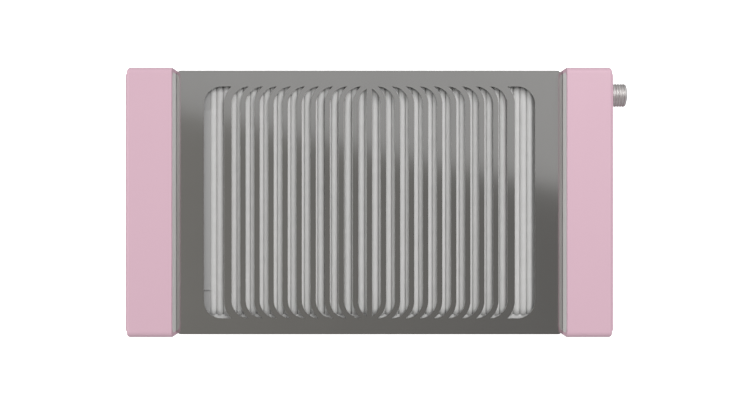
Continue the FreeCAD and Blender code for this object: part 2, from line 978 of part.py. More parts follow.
# ---------------------------------------------------------------- blowers


def ring_places(x, y, radius, count):
    """Places evenly spaced on a circle."""
    turns = [2 * math.pi * step / count for step in range(count)]
    return [(x + radius * math.cos(turn), y + radius * math.sin(turn)) for turn in turns]


def build_blower(number, side):
    """A square centrifugal blower: scroll, cover, wheel, shaft, bearings and stator."""
    x, y = side * D.blower_x, D.blower_y
    half = D.blower_size / 2
    outline = rectangle(x - half, y - half, x + half, y + half, D.blower_corner)
    floor = D.blower_bottom + D.blower_wall
    lid = D.blower_top - D.blower_wall
    tube_top = floor + 16

    base = Piece(f"blower_{number}_scroll")
    base.add("Z", D.blower_bottom, lid, outline)
    scroll = circle(x - D.scroll_shift, y - D.scroll_shift, D.scroll_radius)
    base.cut("Z", floor, lid, scroll)
    outlet_x, outlet_half = x + D.outlet_shift, D.outlet_width / 2
    base.cut(
        "Z",
        floor,
        lid,
        rectangle(outlet_x - outlet_half, y + 10, outlet_x + outlet_half, y + half + 1),
    )
    base.add("Z", floor - OVERLAP, tube_top, circle(x, y, D.tube_radius))
    base.cut("Z", floor + OVERLAP, tube_top, circle(x, y, D.tube_bore))
    base.cut("Z", lid - 17, lid, *blower_screw_holes(side))

    cover = Piece(f"blower_{number}_cover")
    cover.add("Z", lid, D.blower_top, outline)
    cover.add("Z", lid, D.deck_top + 1, circle(x, y, D.eye_radius))
    cover.cut("Z", lid, D.deck_top + 1, circle(x, y, D.eye_radius - D.blower_wall))
    cover.cut("Z", lid, D.blower_top, *blower_screw_holes(side))

    wheel = Piece(f"blower_{number}_impeller")
    hub_top, plate_top = D.wheel_bottom + 17, D.wheel_bottom + 1.5
    wheel.add("Z", D.wheel_bottom, plate_top, circle(x, y, D.wheel_radius))
    wheel.add("Z", D.wheel_bottom, hub_top, circle(x, y, D.hub_radius))
    wheel.soften("Fillet", 1.5, lies_at("Z", hub_top))
    wheel.cut("Z", D.wheel_bottom, hub_top - 1.6, circle(x, y, D.hub_radius - 1.6))
    wheel.cut("Z", hub_top - 1.6, hub_top, circle(x, y, D.shaft_radius))
    root, tip = D.wheel_radius - 8, D.wheel_radius - 0.3
    blade = wheel.add(
        "Z",
        plate_top - 0.5,
        D.wheel_top,
        polygon((root, -0.4), (tip, 2.6), (tip - 0.2, 3.5), (root, 0.4)),
        across=x,
        up=y,
    )
    doc.recompute()
    wheel.pattern(
        "PolarPattern",
        [blade],
        Axis=(blade.Profile[0], ["N_Axis"]),
        Angle=360.0,
        Occurrences=int(D.blade_count.value),
    )
    wheel.add(
        "Z",
        D.wheel_top - 1.5,
        D.wheel_top,
        circle(x, y, D.wheel_radius),
        circle(x, y, D.wheel_radius - 3.5),
    )

    shaft = Piece(f"blower_{number}_shaft")
    shaft.add("Z", floor + 1, hub_top, circle(x, y, D.shaft_radius))

    bearings = Piece(f"blower_{number}_bearings")
    bore = D.shaft_radius + D.shaft_play
    for low in (floor + 1.5, tube_top - 4.5):
        bearings.add("Z", low, low + 4, circle(x, y, D.tube_bore - 0.05), circle(x, y, bore))

    stator = Piece(f"blower_{number}_stator")
    core = circle(x, y, D.hub_radius - 2.6)
    stator.add("Z", floor + 3.5, tube_top - 1, core, circle(x, y, D.tube_radius + 0.1))
    slots = ring_places(x, y, D.hub_radius - 8, 8)
    stator.cut("Z", floor + 3.5, tube_top - 1, *(circle(*place, 2.6) for place in slots))

    guard = Piece(f"inlet_guard_{number}")
    low, high = D.deck_top + 2, D.deck_top + 3.4
    rim = D.eye_radius + 5
    guard.add("Z", D.deck_top, high, circle(x, y, rim + 1.8), circle(x, y, rim))
    for radius in (10, 19, 28, 37):
        guard.add("Z", low, high, circle(x, y, radius), circle(x, y, radius - 1.6))
    for wide, deep in ((rim + 1, 0.8), (0.8, rim + 1)):
        guard.add("Z", low, high, rectangle(x - wide, y - deep, x + wide, y + deep))


for number, side in enumerate(SIDES.values(), start=1):
    build_blower(number, side)

blower_places = blower_screw_places(-1) + blower_screw_places(1)
screws("blower_screws", "Z", blower_places, D.deck_top, D.blower_top - 16)
pads = Piece("blower_pads")
pads.add(
    "Z",
    tray_floor,
    D.blower_bottom,
    *(circle(x, y, 6) for x, y in blower_places),
)

# ---------------------------------------------------------------- power supply and regulator

BOARD_LIFT = 5


def build_power_supply():
    """An open board on four posts in the free space in front of the blowers."""
    length, front, rear = 110, -85, -42
    board_low = tray_floor + BOARD_LIFT
    board_top = board_low + D.board_thickness
    board_places = [(x, y) for x in (-50, 50) for y in (front + 4, rear - 4)]
    holes = [circle(x, y, D.thread_hole) for x, y in board_places]

    posts = Piece("supply_posts")
    posts.add("Z", tray_floor, board_low, *(hexagon(x, y, 3) for x, y in board_places))
    posts.cut("Z", board_low - 4, board_low, *holes)

    board = Piece("supply_board")
    board.add("Z", board_low, board_top, rectangle(-length / 2, front, length / 2, rear, 2))
    board.cut("Z", board_low, board_top, *holes)

    # each set of components has one height above the board
    plug_x, plug_front, plug_rear, lead_radius = (-20, 34), -52, -46.5, 1.5
    transformer = rectangle(-16, -76, 10, -52, 1.5)
    capacitors = [circle(-28, -68, 6), circle(-28, -54, 6)]
    heat_sinks = [rectangle(17, -60, 21, -48), rectangle(-42, -76, -38, -50)]
    regulator_plug = rectangle(46, -78, 54.8, -72)
    mains_plug = rectangle(30, -81, 42, -71)
    blower_plugs = [rectangle(x - 5, plug_front, x + 5, plug_rear) for x in plug_x]
    parts = Piece("supply_components")
    for height, outlines in (
        (19, [transformer]),
        (16, capacitors),
        (20, heat_sinks),
        (12.8, [regulator_plug]),
        (7, [mains_plug]),
        (6, blower_plugs),
    ):
        parts.add("Z", board_top, board_top + height, *outlines)
    screws("supply_screws", "Z", board_places, board_top, board_low - 3)

    leads = Piece("blower_leads")
    reach = D.blower_y - D.blower_size / 2
    leads.add("Y", plug_rear, reach, *(circle(x, board_top + 3, lead_radius) for x in plug_x))


def build_regulator():
    """The speed regulator behind the right panel, its board, nut and spindle."""
    y, z = D.knob_y, D.knob_z
    back = D.pot_face - D.pot_depth
    pot = Piece("speed_regulator")
    pot.add("X", back, D.pot_face, circle(y, z, D.pot_radius))
    pot.soften("Fillet", 0.8, lies_at("X", D.pot_face))
    nut_face, bush_bottom = D.panel_face + 1.8, D.pot_face - 3
    pot.add("X", D.pot_face, nut_face, circle(y, z, D.bush_radius))
    pot.cut("X", bush_bottom, nut_face, circle(y, z, D.spindle_radius + D.shaft_play))

    spindle = Piece("regulator_spindle")
    spindle_tip = D.knob_tip - 4.4
    spindle.add("X", bush_bottom + 0.2, spindle_tip, circle(y, z, D.spindle_radius))
    spindle.soften("Chamfer", 0.5, lies_at("X", spindle_tip))

    nut = Piece("regulator_nut")
    nut.add("X", D.panel_face, nut_face, hexagon(y, z, 5.6), circle(y, z, D.bush_radius + 0.05))

    board = Piece("regulator_board")
    board.add("X", back - D.board_thickness, back, rectangle(58, 48, 86, 72, 1))
    parts = Piece("regulator_components")
    face = back - D.board_thickness
    parts.add("X", face - 8, face, rectangle(59, 50, 66, 57))
    parts.add("X", face - 6, face, circle(78, 64, 4))
    parts.add("X", face - 4, face, rectangle(70, 50, 84, 54))


def build_knob():
    """A turned knob with ring grooves, hollow at the back where the nut is."""
    y, z = D.knob_y, D.knob_z
    back, tip, radius = D.panel_face + D.knob_gap, D.knob_tip, D.knob_radius
    groove_start = back + 2
    outline = [(back, D.nut_room), (back, radius - 0.3), (back + 0.3, radius)]
    for step in range(int(D.groove_count.value)):
        middle = groove_start + step * D.knob_groove
        outline += [(middle - 0.5, radius), (middle, radius - 0.6), (middle + 0.5, radius)]
    outline += [(tip - 1.6, radius), (tip - 0.7, radius - 0.4), (tip - 0.25, radius - 1.3)]
    outline += [(tip, 0), (tip - 4.2, 0), (tip - 4.2, D.spindle_radius)]
    outline += [(back + 2.4, D.spindle_radius), (back + 2.4, D.nut_room)]
    knob = Piece("speed_knob")
    knob.turn("X", (y, z), polygon(*outline))
    across = tip - 7.7
    knob.cut("Z", z - radius, z, circle(across, y, D.thread))
    grub = Piece("knob_set_screw")
    grub.add("Z", z - radius + 0.8, z - D.spindle_radius, circle(across, y, D.thread))
    grub.cut("Z", z - radius + 0.8, z - radius + 2.4, hexagon(across, y, 0.9))


def build_inlet():
    """A three-pin appliance inlet let into the rear wall of the right cap."""
    face = half_depth - 0.1
    shoulder = half_depth - D.inlet_flange
    housing = Piece("inlet_housing")
    housing.add("Y", shoulder, face, inlet_outline(2, 1.5))
    back = half_depth - D.inlet_depth
    housing.add("Y", back, shoulder, inlet_outline(-0.2, 1))
    housing.cut("Y", face - D.inlet_well, face, inlet_outline(-1.8, 2))
    pins = Piece("inlet_pins")
    spots = ((-2, -7), (-2, 7), (2, 0))
    blades = [
        rectangle(
            D.inlet_x + across - 2, D.inlet_z + up - 1, D.inlet_x + across + 2, D.inlet_z + up + 1
        )
        for across, up in spots
    ]
    pins.add("Y", face - D.inlet_well, face - 2, *blades)


build_power_supply()
build_regulator()
build_knob()
build_inlet()

# ---------------------------------------------------------------- leads and grommet


def build_lead(node, radius, bend, *turns):
    """A round lead laid through the given turning points with tangent bends."""
    points = [FreeCAD.Vector(*(size(c).value for c in turn)) for turn in turns]
    edges, last = [], points[0]
    for before, corner, after in zip(points, points[1:], points[2:]):
        back, ahead = (before - corner).normalize(), (after - corner).normalize()
        setback = bend / math.tan(back.getAngle(ahead) / 2)
        start, finish = corner + back * setback, corner + ahead * setback
        bisector = (back + ahead).normalize()
        middle = corner + bisector * (math.hypot(bend, setback) - bend)
        edges.append(Part.LineSegment(last, start).toShape())
        edges.append(Part.Arc(start, middle, finish).toShape())
        last = finish
    edges.append(Part.LineSegment(last, points[-1]).toShape())
    ring = Part.Wire(Part.makeCircle(radius, points[0], points[1] - points[0]))
    lead = doc.addObject("Part::Feature", node)
    lead.Label = node
    lead.Shape = Part.Wire(edges).makePipeShell([ring], True, False)
    PIECES[node] = lead


lead_y = CABLE_HOLE[0]
inlet_back = half_depth - D.inlet_depth
mains_z, regulator_z, regulator_x = 29.2, 24.6, 142.6
board_top = tray_floor + BOARD_LIFT + D.board_thickness
build_lead(
    "mains_lead",
    2.3,
    6,
    (D.inlet_x, inlet_back, mains_z),
    (D.inlet_x, lead_y, mains_z),
    (36, lead_y, mains_z),
    (36, lead_y, board_top + 7),
)
build_lead(
    "regulator_lead",
    2.0,
    6,
    (54.8, lead_y, regulator_z),
    (regulator_x, lead_y, regulator_z),
    (regulator_x, 62, regulator_z),
    (regulator_x, 62, 50),
)

grommet = Piece("cable_grommet")
inside, outside = D.cap_inner - 1.4, cap_floor_top + 1.4
bore, waist, rim = 4.8, 6.1, 8
grommet.turn(
    "X",
    CABLE_HOLE,
    polygon(
        (inside, bore),
        (inside, rim),
        (D.cap_inner, rim),
        (D.cap_inner, waist),
        (cap_floor_top, waist),
        (cap_floor_top, rim),
        (outside, rim),
        (outside, bore),
    ),
)

# ---------------------------------------------------------------- feet

foot_places = {
    "front_left": (-1, -1),
    "front_right": (1, -1),
    "rear_left": (-1, 1),
    "rear_right": (1, 1),
}
FOOT_WELL = 2.8
for name, (side, hand) in foot_places.items():
    foot = Piece(f"foot_{name}")
    x, y = side * D.foot_x, hand * D.foot_y
    foot.add("Z", 0, D.case_bottom, circle(x, y, D.foot_radius))
    foot.soften("Chamfer", 1, lies_at("Z", 0))
    foot.cut("Z", 0, FOOT_WELL, circle(x, y, D.head_radius + 0.6))
    foot.cut("Z", FOOT_WELL, D.case_bottom, circle(x, y, D.thread_hole))
screws("foot_screws", "Z", corners(D.foot_x, D.foot_y), size(FOOT_WELL), tray_floor + 4)

# ---------------------------------------------------------------- checks and files

doc.recompute()
failed = [obj.Name for obj in doc.Objects if {"Invalid", "Error"} & set(obj.State)]
for node, piece in PIECES.items():
    shape = piece.Shape
    if shape.isNull() or not shape.isValid() or not shape.Solids:
        failed.append(node)
if failed:
    sys.exit(f"these objects failed: {failed}")
for node, piece in PIECES.items():
    piece.Shape.exportStep(f"parts/{node}.step")
    print(f"{node}: {len(piece.Shape.Solids)} solids, {piece.Shape.Volume / 1000:.2f} cm3")
print(len(PIECES), "pieces")
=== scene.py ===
"""Looks of a desktop nail dust collector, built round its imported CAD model, in metres.

The sections follow the order in which the machine is put together: folded tray, feet, blowers,
power supply, side plates and end caps, speed regulator and knob, mains inlet, filter, catches
and cover. The desk, the light and the camera come last.
"""

from math import atan2, cos, degrees, pi, radians, sin, sqrt

import bmesh
import bpy
from mathutils import Matrix, Vector


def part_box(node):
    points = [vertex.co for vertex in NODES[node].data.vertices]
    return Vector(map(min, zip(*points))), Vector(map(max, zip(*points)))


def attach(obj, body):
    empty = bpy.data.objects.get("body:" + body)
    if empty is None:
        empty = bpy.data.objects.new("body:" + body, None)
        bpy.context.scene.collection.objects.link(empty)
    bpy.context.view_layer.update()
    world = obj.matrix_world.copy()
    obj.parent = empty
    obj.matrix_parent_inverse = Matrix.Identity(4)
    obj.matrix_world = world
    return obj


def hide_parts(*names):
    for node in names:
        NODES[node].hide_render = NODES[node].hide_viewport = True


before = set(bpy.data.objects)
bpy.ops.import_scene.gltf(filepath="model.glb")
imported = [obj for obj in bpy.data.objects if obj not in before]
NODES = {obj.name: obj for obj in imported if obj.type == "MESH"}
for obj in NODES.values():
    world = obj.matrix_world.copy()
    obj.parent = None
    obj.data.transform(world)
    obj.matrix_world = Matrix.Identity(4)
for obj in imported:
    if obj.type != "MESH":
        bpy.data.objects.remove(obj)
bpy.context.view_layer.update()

# ---------------------------------------------------------------- folded tray
# The body of the machine: 1.2 mm stainless sheet, laser cut and folded into a trough, with seven
# exhaust slots behind each blower. The mill's brushed finish runs along the sheet, and the cut
# edges are tumbled just enough to be safe to touch.

MM = 0.001
CREASE = radians(32)  # a sharper bend than this is an edge, a softer one is a curve
into_scene = bpy.context.scene.collection.objects.link


def linear(code):
    """A colour from its sRGB hex code, in the linear values that shaders take."""
    parts = [int(code[start : start + 2], 16) / 255 for start in (1, 3, 5)]
    return tuple(c / 12.92 if c <= 0.04045 else ((c + 0.055) / 1.055) ** 2.4 for c in parts) + (1,)


def add_node(tree, kind, settings=None, links=None):
    """Adds a node, sets its inputs or properties by name, and links its inputs to sockets."""
    node = tree.nodes.new(kind)
    for key, value in (settings or {}).items():
        if isinstance(key, str) and hasattr(node, key):
            setattr(node, key, value)
        else:
            node.inputs[key].default_value = value
    for key, sources in (links or {}).items():
        for source in sources if isinstance(sources, list) else [sources]:
            tree.links.new(source, node.inputs[key])
    return node


def new_material(name, **surface):
    """A material with its Principled shader's sockets set, and the node tree it stands in."""
    material = bpy.data.materials.new(name)
    material.use_nodes = True
    tree = material.node_tree
    tree.nodes.clear()
    shader = add_node(tree, "ShaderNodeBsdfPrincipled", surface)
    add_node(tree, "ShaderNodeOutputMaterial", None, {"Surface": shader.outputs["BSDF"]})
    return material, tree, shader


def pattern(tree, kind, settings, stretch=None):
    """Adds a pattern in the piece's own coordinates, stretched to a size in metres per axis."""
    where = add_node(tree, "ShaderNodeTexCoord").outputs["Object"]
    if stretch:
        scale = {"Scale": tuple(1 / size for size in stretch)}
        where = add_node(tree, "ShaderNodeMapping", scale, {"Vector": where}).outputs["Vector"]
    return add_node(tree, kind, settings, {"Vector": where})


def vary(tree, shader, level, colours=None, roughness=None, relief=None, between=(0.0, 1.0)):
    """Lets a pattern's level vary a surface's colour, roughness and fine relief.

    Colours and roughness run from the low to the high level, the roughness over the part of it
    in between. Relief is the strength of the bumps and their height in metres.
    """
    if colours:
        ends = {6: linear(colours[0]), 7: linear(colours[1])}
        shade = add_node(tree, "ShaderNodeMix", {"data_type": "RGBA", **ends}, {0: level})
        tree.links.new(shade.outputs[2], shader.inputs["Base Color"])
    if roughness:
        ends = dict(zip(("From Min", "From Max", "To Min", "To Max"), between + roughness))
        spread = add_node(tree, "ShaderNodeMapRange", ends, {"Value": level})
        tree.links.new(spread.outputs["Result"], shader.inputs["Roughness"])
    if relief:
        size = {"Strength": relief[0], "Distance": relief[1]}
        bumps = add_node(tree, "ShaderNodeBump", size, {"Height": level})
        tree.links.new(bumps.outputs["Normal"], shader.inputs["Normal"])


def merged_copy(node):
    """A CAD node's shape with its loose triangles joined and each flat face made whole."""
    shape = bmesh.new()
    shape.from_mesh(NODES[node].data)
    bmesh.ops.remove_doubles(shape, verts=shape.verts, dist=1e-6)
    bmesh.ops.dissolve_limit(
        shape, angle_limit=radians(0.4), verts=shape.verts, edges=shape.edges
    )
    return shape


def place(name, shape, material, body, nodes, edge=None):
    """Makes a finished piece that rides on a body, with its sharp edges broken by edge metres."""
    if isinstance(shape, bmesh.types.BMesh):
        mesh = bpy.data.meshes.new(name)
        shape.to_mesh(mesh)
        shape.free()
    else:
        mesh = shape
        mesh.name = name
    mesh.materials.clear()
    mesh.materials.append(material)
    mesh.polygons.foreach_set("use_smooth", [True] * len(mesh.polygons))
    mesh.set_sharp_from_angle(angle=CREASE)
    piece = bpy.data.objects.new(name, mesh)
    into_scene(piece)
    if edge:
        bevel = piece.modifiers.new("broken_edges", "BEVEL")
        bevel.limit_method = "ANGLE"
        bevel.angle_limit = CREASE
        bevel.width = edge
        bevel.segments = 2
        bevel.use_clamp_overlap = True
        weights = piece.modifiers.new("flat_faces_stay_flat", "WEIGHTED_NORMAL")
        weights.keep_sharp = False
    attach(piece, body)
    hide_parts(*nodes)
    return piece


def refine(name, node, material, edge):
    """Makes a fixed piece from its CAD node's own shape, its edges broken by edge millimetres."""
    place(name, merged_copy(node), material, "housing", [node], edge=edge * MM)


def paint(material, *nodes):
    """Gives CAD nodes that stay as they are their material."""
    for node in nodes:
        for mesh_slot in NODES[node].material_slots:
            mesh_slot.material = material


# brushed stainless sheet: scratches about 0.15 mm apart, tens of millimetres long
brushed_stainless, tree, shader = new_material(
    "stainless_sheet_brushed", **{"Metallic": 1.0, "Anisotropic": 0.35}
)
scratches = pattern(
    tree,
    "ShaderNodeTexNoise",
    {"Scale": 1.0, "Detail": 3.0, "Roughness": 0.6},
    stretch=(30 * MM, 0.15 * MM, 0.15 * MM),
)
vary(
    tree,
    shader,
    scratches.outputs["Fac"],
    ("#a9a9a6", "#c4c4c1"),
    roughness=(0.26, 0.38),
    relief=(0.25, 0.02 * MM),
    between=(0.3, 0.7),
)

refine("folded_tray", "chassis_tray", brushed_stainless, 0.12)

# ---------------------------------------------------------------- feet and their screws
# Four compression-moulded rubber feet, each with a well for the pan-head screw that holds it to
# the tray. The mould leaves a dull, faintly pebbled skin.


def turned(profile, centre, axis="Z", steps=64):
    """A shape turned once round an axis from a closed profile of (out, along) points."""
    shape = bmesh.new()
    verts = [shape.verts.new((out, 0, along)) for out, along in profile]
    edges = [shape.edges.new(pair) for pair in zip(verts, verts[1:] + verts[:1])]
    bmesh.ops.spin(
        shape,
        geom=verts + edges,
        cent=(0, 0, 0),
        axis=(0, 0, 1),
        angle=2 * pi,
        steps=steps,
        use_merge=True,
    )
    bmesh.ops.remove_doubles(shape, verts=shape.verts, dist=1e-7)
    bmesh.ops.recalc_face_normals(shape, faces=shape.faces)
    turn = Matrix.Rotation(radians(90), 4, "Y") if axis == "X" else Matrix.Identity(4)
    bmesh.ops.transform(shape, matrix=Matrix.Translation(centre) @ turn, verts=shape.verts)
    return shape


def rounded(centre, radius, start, finish, steps=4):
    """Points of a small arc, from one angle to another in degrees."""
    return [
        (
            centre[0] + radius * cos(radians(start + (finish - start) * step / steps)),
            centre[1] + radius * sin(radians(start + (finish - start) * step / steps)),
        )
        for step in range(steps + 1)
    ]


# moulded rubber: dark grey, matt, with a pebble of about 0.4 mm
moulded_rubber, tree, shader = new_material(
    "rubber_compression_moulded", **{"Roughness": 0.72, "IOR": 1.52, "Specular IOR Level": 0.4}
)
pebble = pattern(tree, "ShaderNodeTexVoronoi", {"Scale": 1 / (0.4 * MM)})
vary(tree, shader, pebble.outputs["Distance"], ("#333334", "#3f3f40"), relief=(0.5, 0.03 * MM))

# zinc plate: pale blue-grey, with soft clouds some millimetres wide where the crystals differ
zinc_plate, tree, shader = new_material("steel_zinc_plated", **{"Metallic": 1.0})
clouds = pattern(
    tree, "ShaderNodeTexNoise", {"Scale": 1 / (3 * MM), "Detail": 5.0, "Roughness": 0.6}
)
vary(tree, shader, clouds.outputs["Fac"], ("#a7abb0", "#c8ccd0"), roughness=(0.28, 0.45))

for foot in ("foot_front_left", "foot_front_right", "foot_rear_left", "foot_rear_right"):
    low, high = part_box(foot)
    middle = (low + high) / 2
    radius = (high.x - low.x) / 2
    well, hole, well_top = 3.35 * MM, 1.65 * MM, 2.8 * MM
    chamfer, curl = 1.0 * MM, 0.3 * MM
    profile = (
        [(well + curl, 0), (radius - chamfer - curl, 0)]
        + rounded((radius - chamfer - curl, chamfer), chamfer, -80, 0, 5)
        + [(radius - curl * 0.5, chamfer * 1.3), (radius, high.z - 0.2 * MM)]
        + [(radius - 0.2 * MM, high.z), (hole, high.z), (hole, well_top), (well, well_top)]
        + [(well, curl)]
    )
    place(
        f"rubber_{foot}",
        turned(profile, (middle.x, middle.y, 0)),
        moulded_rubber,
        "housing",
        [foot],
    )


def lofted(rings, cyclic=False):
    """A closed shape skinned over rings of points, with a face over each end unless cyclic."""
    shape = bmesh.new()
    rows = [[shape.verts.new(point) for point in ring] for ring in rings]
    pairs = list(zip(rows, rows[1:])) + ([(rows[-1], rows[0])] if cyclic else [])
    for lower, upper in pairs:
        for step in range(len(lower)):
            after = (step + 1) % len(lower)
            shape.faces.new((lower[step], lower[after], upper[after], upper[step]))
    if not cyclic:
        shape.faces.new(rows[0][::-1])
        shape.faces.new(rows[-1])
    bmesh.ops.recalc_face_normals(shape, faces=shape.faces)
    return shape


# every screw is M3: the radius and the height of its head
HEAD, CROWN = 2.75 * MM, 2.0 * MM


def screw_shape(length):
    """A pan-head socket screw: seat of the head at the origin, head up and shank down."""
    thread, root, pitch, key, fillet = (size * MM for size in (1.5, 1.26, 0.5, 1.1, 0.7))
    key_depth, sides = 1.2 * MM, 24

    def ring(out, z, hexagonal=False):
        points = []
        for step in range(sides):
            turn = 2 * pi * step / sides
            flat = cos(pi / 6) / cos(turn % (pi / 3) - pi / 6) if hexagonal else 1
            points.append((out * flat * cos(turn), out * flat * sin(turn), z))
        return points

    rings = [ring(thread * 0.7, -length)]
    for turn in range(int(length / pitch) - 1):
        low = -length + 0.3 * MM + turn * pitch
        rings += [ring(root, low), ring(thread, low + pitch / 2)]
    rings += [ring(root, -0.1 * MM), ring(thread, 0), ring(HEAD - 0.1 * MM, 0)]
    rings.append(ring(HEAD, 0.1 * MM))
    for out, z in rounded((HEAD - fillet, CROWN - fillet), fillet, 0, 90):
        rings.append(ring(out, z))
    rings += [ring(key + 0.1 * MM, CROWN, True), ring(key, CROWN - 0.1 * MM, True)]
    rings.append(ring(key, CROWN - key_depth, True))
    rings.append(ring(key * 0.3, CROWN - key_depth - 0.2 * MM, True))
    return lofted(rings)


def node_group(name, sizes, objects=()):
    """An empty Geometry Nodes tree with named inputs for its sizes and source objects."""
    group = bpy.data.node_groups.new(name, "GeometryNodeTree")
    group.interface.new_socket("Geometry", in_out="INPUT", socket_type="NodeSocketGeometry")
    group.interface.new_socket("Geometry", in_out="OUTPUT", socket_type="NodeSocketGeometry")
    for label, value in sizes.items():
        kind = {int: "Int", float: "Float", tuple: "Vector"}[type(value)]
        socket = group.interface.new_socket(
            label, in_out="INPUT", socket_type=f"NodeSocket{kind}"
        )
        socket.default_value = value
    for label in objects:
        group.interface.new_socket(label, in_out="INPUT", socket_type="NodeSocketObject")
    group.interface.new_socket("Material", in_out="INPUT", socket_type="NodeSocketMaterial")
    inputs = add_node(group, "NodeGroupInput")
    return group, inputs


def end_group(group, inputs, geometry):
    """Ends a tree with Realize Instances and Set Material."""
    real = add_node(group, "GeometryNodeRealizeInstances", None, {"Geometry": geometry})
    dressed = add_node(
        group,
        "GeometryNodeSetMaterial",
        None,
        {"Geometry": real.outputs["Geometry"], "Material": inputs.outputs["Material"]},
    )
    add_node(group, "NodeGroupOutput", None, {"Geometry": dressed.outputs["Geometry"]})


def finished(form):
    """The plain mesh that an object's modifiers make; the object itself goes."""
    bpy.context.view_layer.update()
    graph = bpy.context.evaluated_depsgraph_get()
    mesh = bpy.data.meshes.new_from_object(form.evaluated_get(graph))
    bpy.data.objects.remove(form)
    return mesh


def grow(group, source, values):
    """Runs a tree on a mesh with its inputs set by name, and returns the plain mesh it makes."""
    seed = bpy.data.objects.new("seed", source)
    into_scene(seed)
    modifier = seed.modifiers.new("nodes", "NODES")
    modifier.node_group = group
    sockets = {s.name: s.identifier for s in group.interface.items_tree if s.in_out == "INPUT"}
    for label, value in values.items():
        modifier[sockets[label]] = value
    return finished(seed)


def helper(name, shape):
    """A shape that a tree copies or a cut uses: an object never shown, and removed later."""
    mesh = bpy.data.meshes.new(name)
    shape.to_mesh(mesh)
    shape.free()
    return bpy.data.objects.new(name, mesh)


# screws at points, each turned at random about its own length as a driver leaves it
screw_set, inputs = node_group("screw_set", {"Turn": (0.0, 0.0, 0.0), "Seed": 3}, ["Screw"])
screw = add_node(screw_set, "GeometryNodeObjectInfo", None, {"Object": inputs.outputs["Screw"]})
chance = add_node(
    screw_set,
    "FunctionNodeRandomValue",
    {"data_type": "FLOAT_VECTOR", 0: (0, 0, 0), 1: (0, 0, 2 * pi)},
    {"Seed": inputs.outputs["Seed"]},
)
facing = add_node(
    screw_set, "FunctionNodeEulerToRotation", None, {"Euler": inputs.outputs["Turn"]}
)
twist = add_node(screw_set, "FunctionNodeEulerToRotation", None, {"Euler": chance.outputs[0]})
turned_by = add_node(
    screw_set,
    "FunctionNodeRotateRotation",
    {"rotation_space": "LOCAL"},
    {"Rotation": facing.outputs["Rotation"], "Rotate By": twist.outputs["Rotation"]},
)
set_out = add_node(
    screw_set,
    "GeometryNodeInstanceOnPoints",
    None,
    {
        "Points": inputs.outputs["Geometry"],
        "Instance": screw.outputs["Geometry"],
        "Rotation": turned_by.outputs["Rotation"],
    },
)
end_group(screw_set, inputs, set_out.outputs["Instances"])


def fit_screws(name, node, places, length, turn, seed):
    """Sets one node's screws at its places and gives them zinc plate."""
    points = bpy.data.meshes.new(name)
    points.from_pydata(places, [], [])
    one_screw = helper("one_screw", screw_shape(length))
    values = {"Turn": turn, "Seed": seed, "Screw": one_screw, "Material": zinc_plate}
    mesh = grow(screw_set, points, values)
    bpy.data.objects.remove(one_screw)
    place(name, mesh, zinc_plate, "housing", [node])


low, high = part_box("foot_screws")
seat = 2.8 * MM
side_x, side_y = high.x - HEAD, high.y - HEAD
fit_screws(
    "foot_pan_screws",
    "foot_screws",
    [(x, y, seat) for x in (-side_x, side_x) for y in (-side_y, side_y)],
    high.z - seat,
    (pi, 0.0, 0.0),
    11,
)

# ---------------------------------------------------------------- blowers and fan deck
# Two square centrifugal blowers hang under a zinc-plated deck. Their scrolls and wheels are
# injection moulded in black glass-filled PBT, and a moulded guard covers each inlet.

# glass-filled PBT: near black, with pale glass fibres 0.3 mm long that float to the skin
glass_filled_pbt, tree, shader = new_material("pbt_glass_filled_moulded", **{"IOR": 1.57})
fibres = pattern(
    tree,
    "ShaderNodeTexNoise",
    {"Scale": 1.0, "Detail": 4.0, "Roughness": 0.7},
    stretch=(0.3 * MM, 0.9 * MM, 0.6 * MM),
)
vary(
    tree,
    shader,
    fibres.outputs["Fac"],
    ("#29292a", "#434345"),
    roughness=(0.38, 0.58),
    relief=(0.2, 0.02 * MM),
)


def band_scale(spacing):
    """The wave texture's scale for bands a spacing in metres apart: it has 20 radians a unit."""
    return 2 * pi / 20 / spacing


# varnished laminations: 0.5 mm sheets stacked, drawn as level lines 3.1 mm apart that show
laminations, tree, shader = new_material(
    "electrical_steel_laminated", **{"Metallic": 0.8, "Roughness": 0.45, "Coat Weight": 0.4}
)
layers = pattern(
    tree,
    "ShaderNodeTexWave",
    {"bands_direction": "Z", "Scale": band_scale(3.1416 * MM), "Distortion": 0.4},
)
vary(tree, shader, layers.outputs["Fac"], ("#54473c", "#8b7c6c"))

# sintered bronze: pressed grains of about 0.15 mm, dark with oil between them
sintered_bronze, tree, shader = new_material(
    "bronze_sintered", **{"Metallic": 1.0, "Roughness": 0.5}
)
grains = pattern(tree, "ShaderNodeTexVoronoi", {"Scale": 1 / (0.15 * MM)})
vary(tree, shader, grains.outputs["Distance"], ("#caa274", "#7c5c3a"))

# ground steel: bright, with the wheel's rings 0.05 mm apart, drawn at 0.63 mm so that they show
ground_steel, tree, shader = new_material("steel_ground", **{"Metallic": 1.0, "Roughness": 0.2})
rings_left = pattern(
    tree,
    "ShaderNodeTexWave",
    {"bands_direction": "Z", "Scale": band_scale(0.6283 * MM), "Distortion": 2.0},
)
vary(tree, shader, rings_left.outputs["Fac"], ("#b9b9b8", "#d3d3d2"))

# closed-cell foam: dark grey, with cut cells of about 0.5 mm
closed_cell_foam, tree, shader = new_material(
    "foam_closed_cell", **{"Roughness": 0.9, "IOR": 1.5, "Sheen Weight": 0.15}
)
cells = pattern(tree, "ShaderNodeTexVoronoi", {"Scale": 1 / (0.5 * MM)})
vary(tree, shader, cells.outputs["Distance"], ("#3a3a3c", "#5c5c5e"), relief=(0.8, 0.12 * MM))

refine("pressed_fan_deck", "fan_deck", zinc_plate, 0.1)

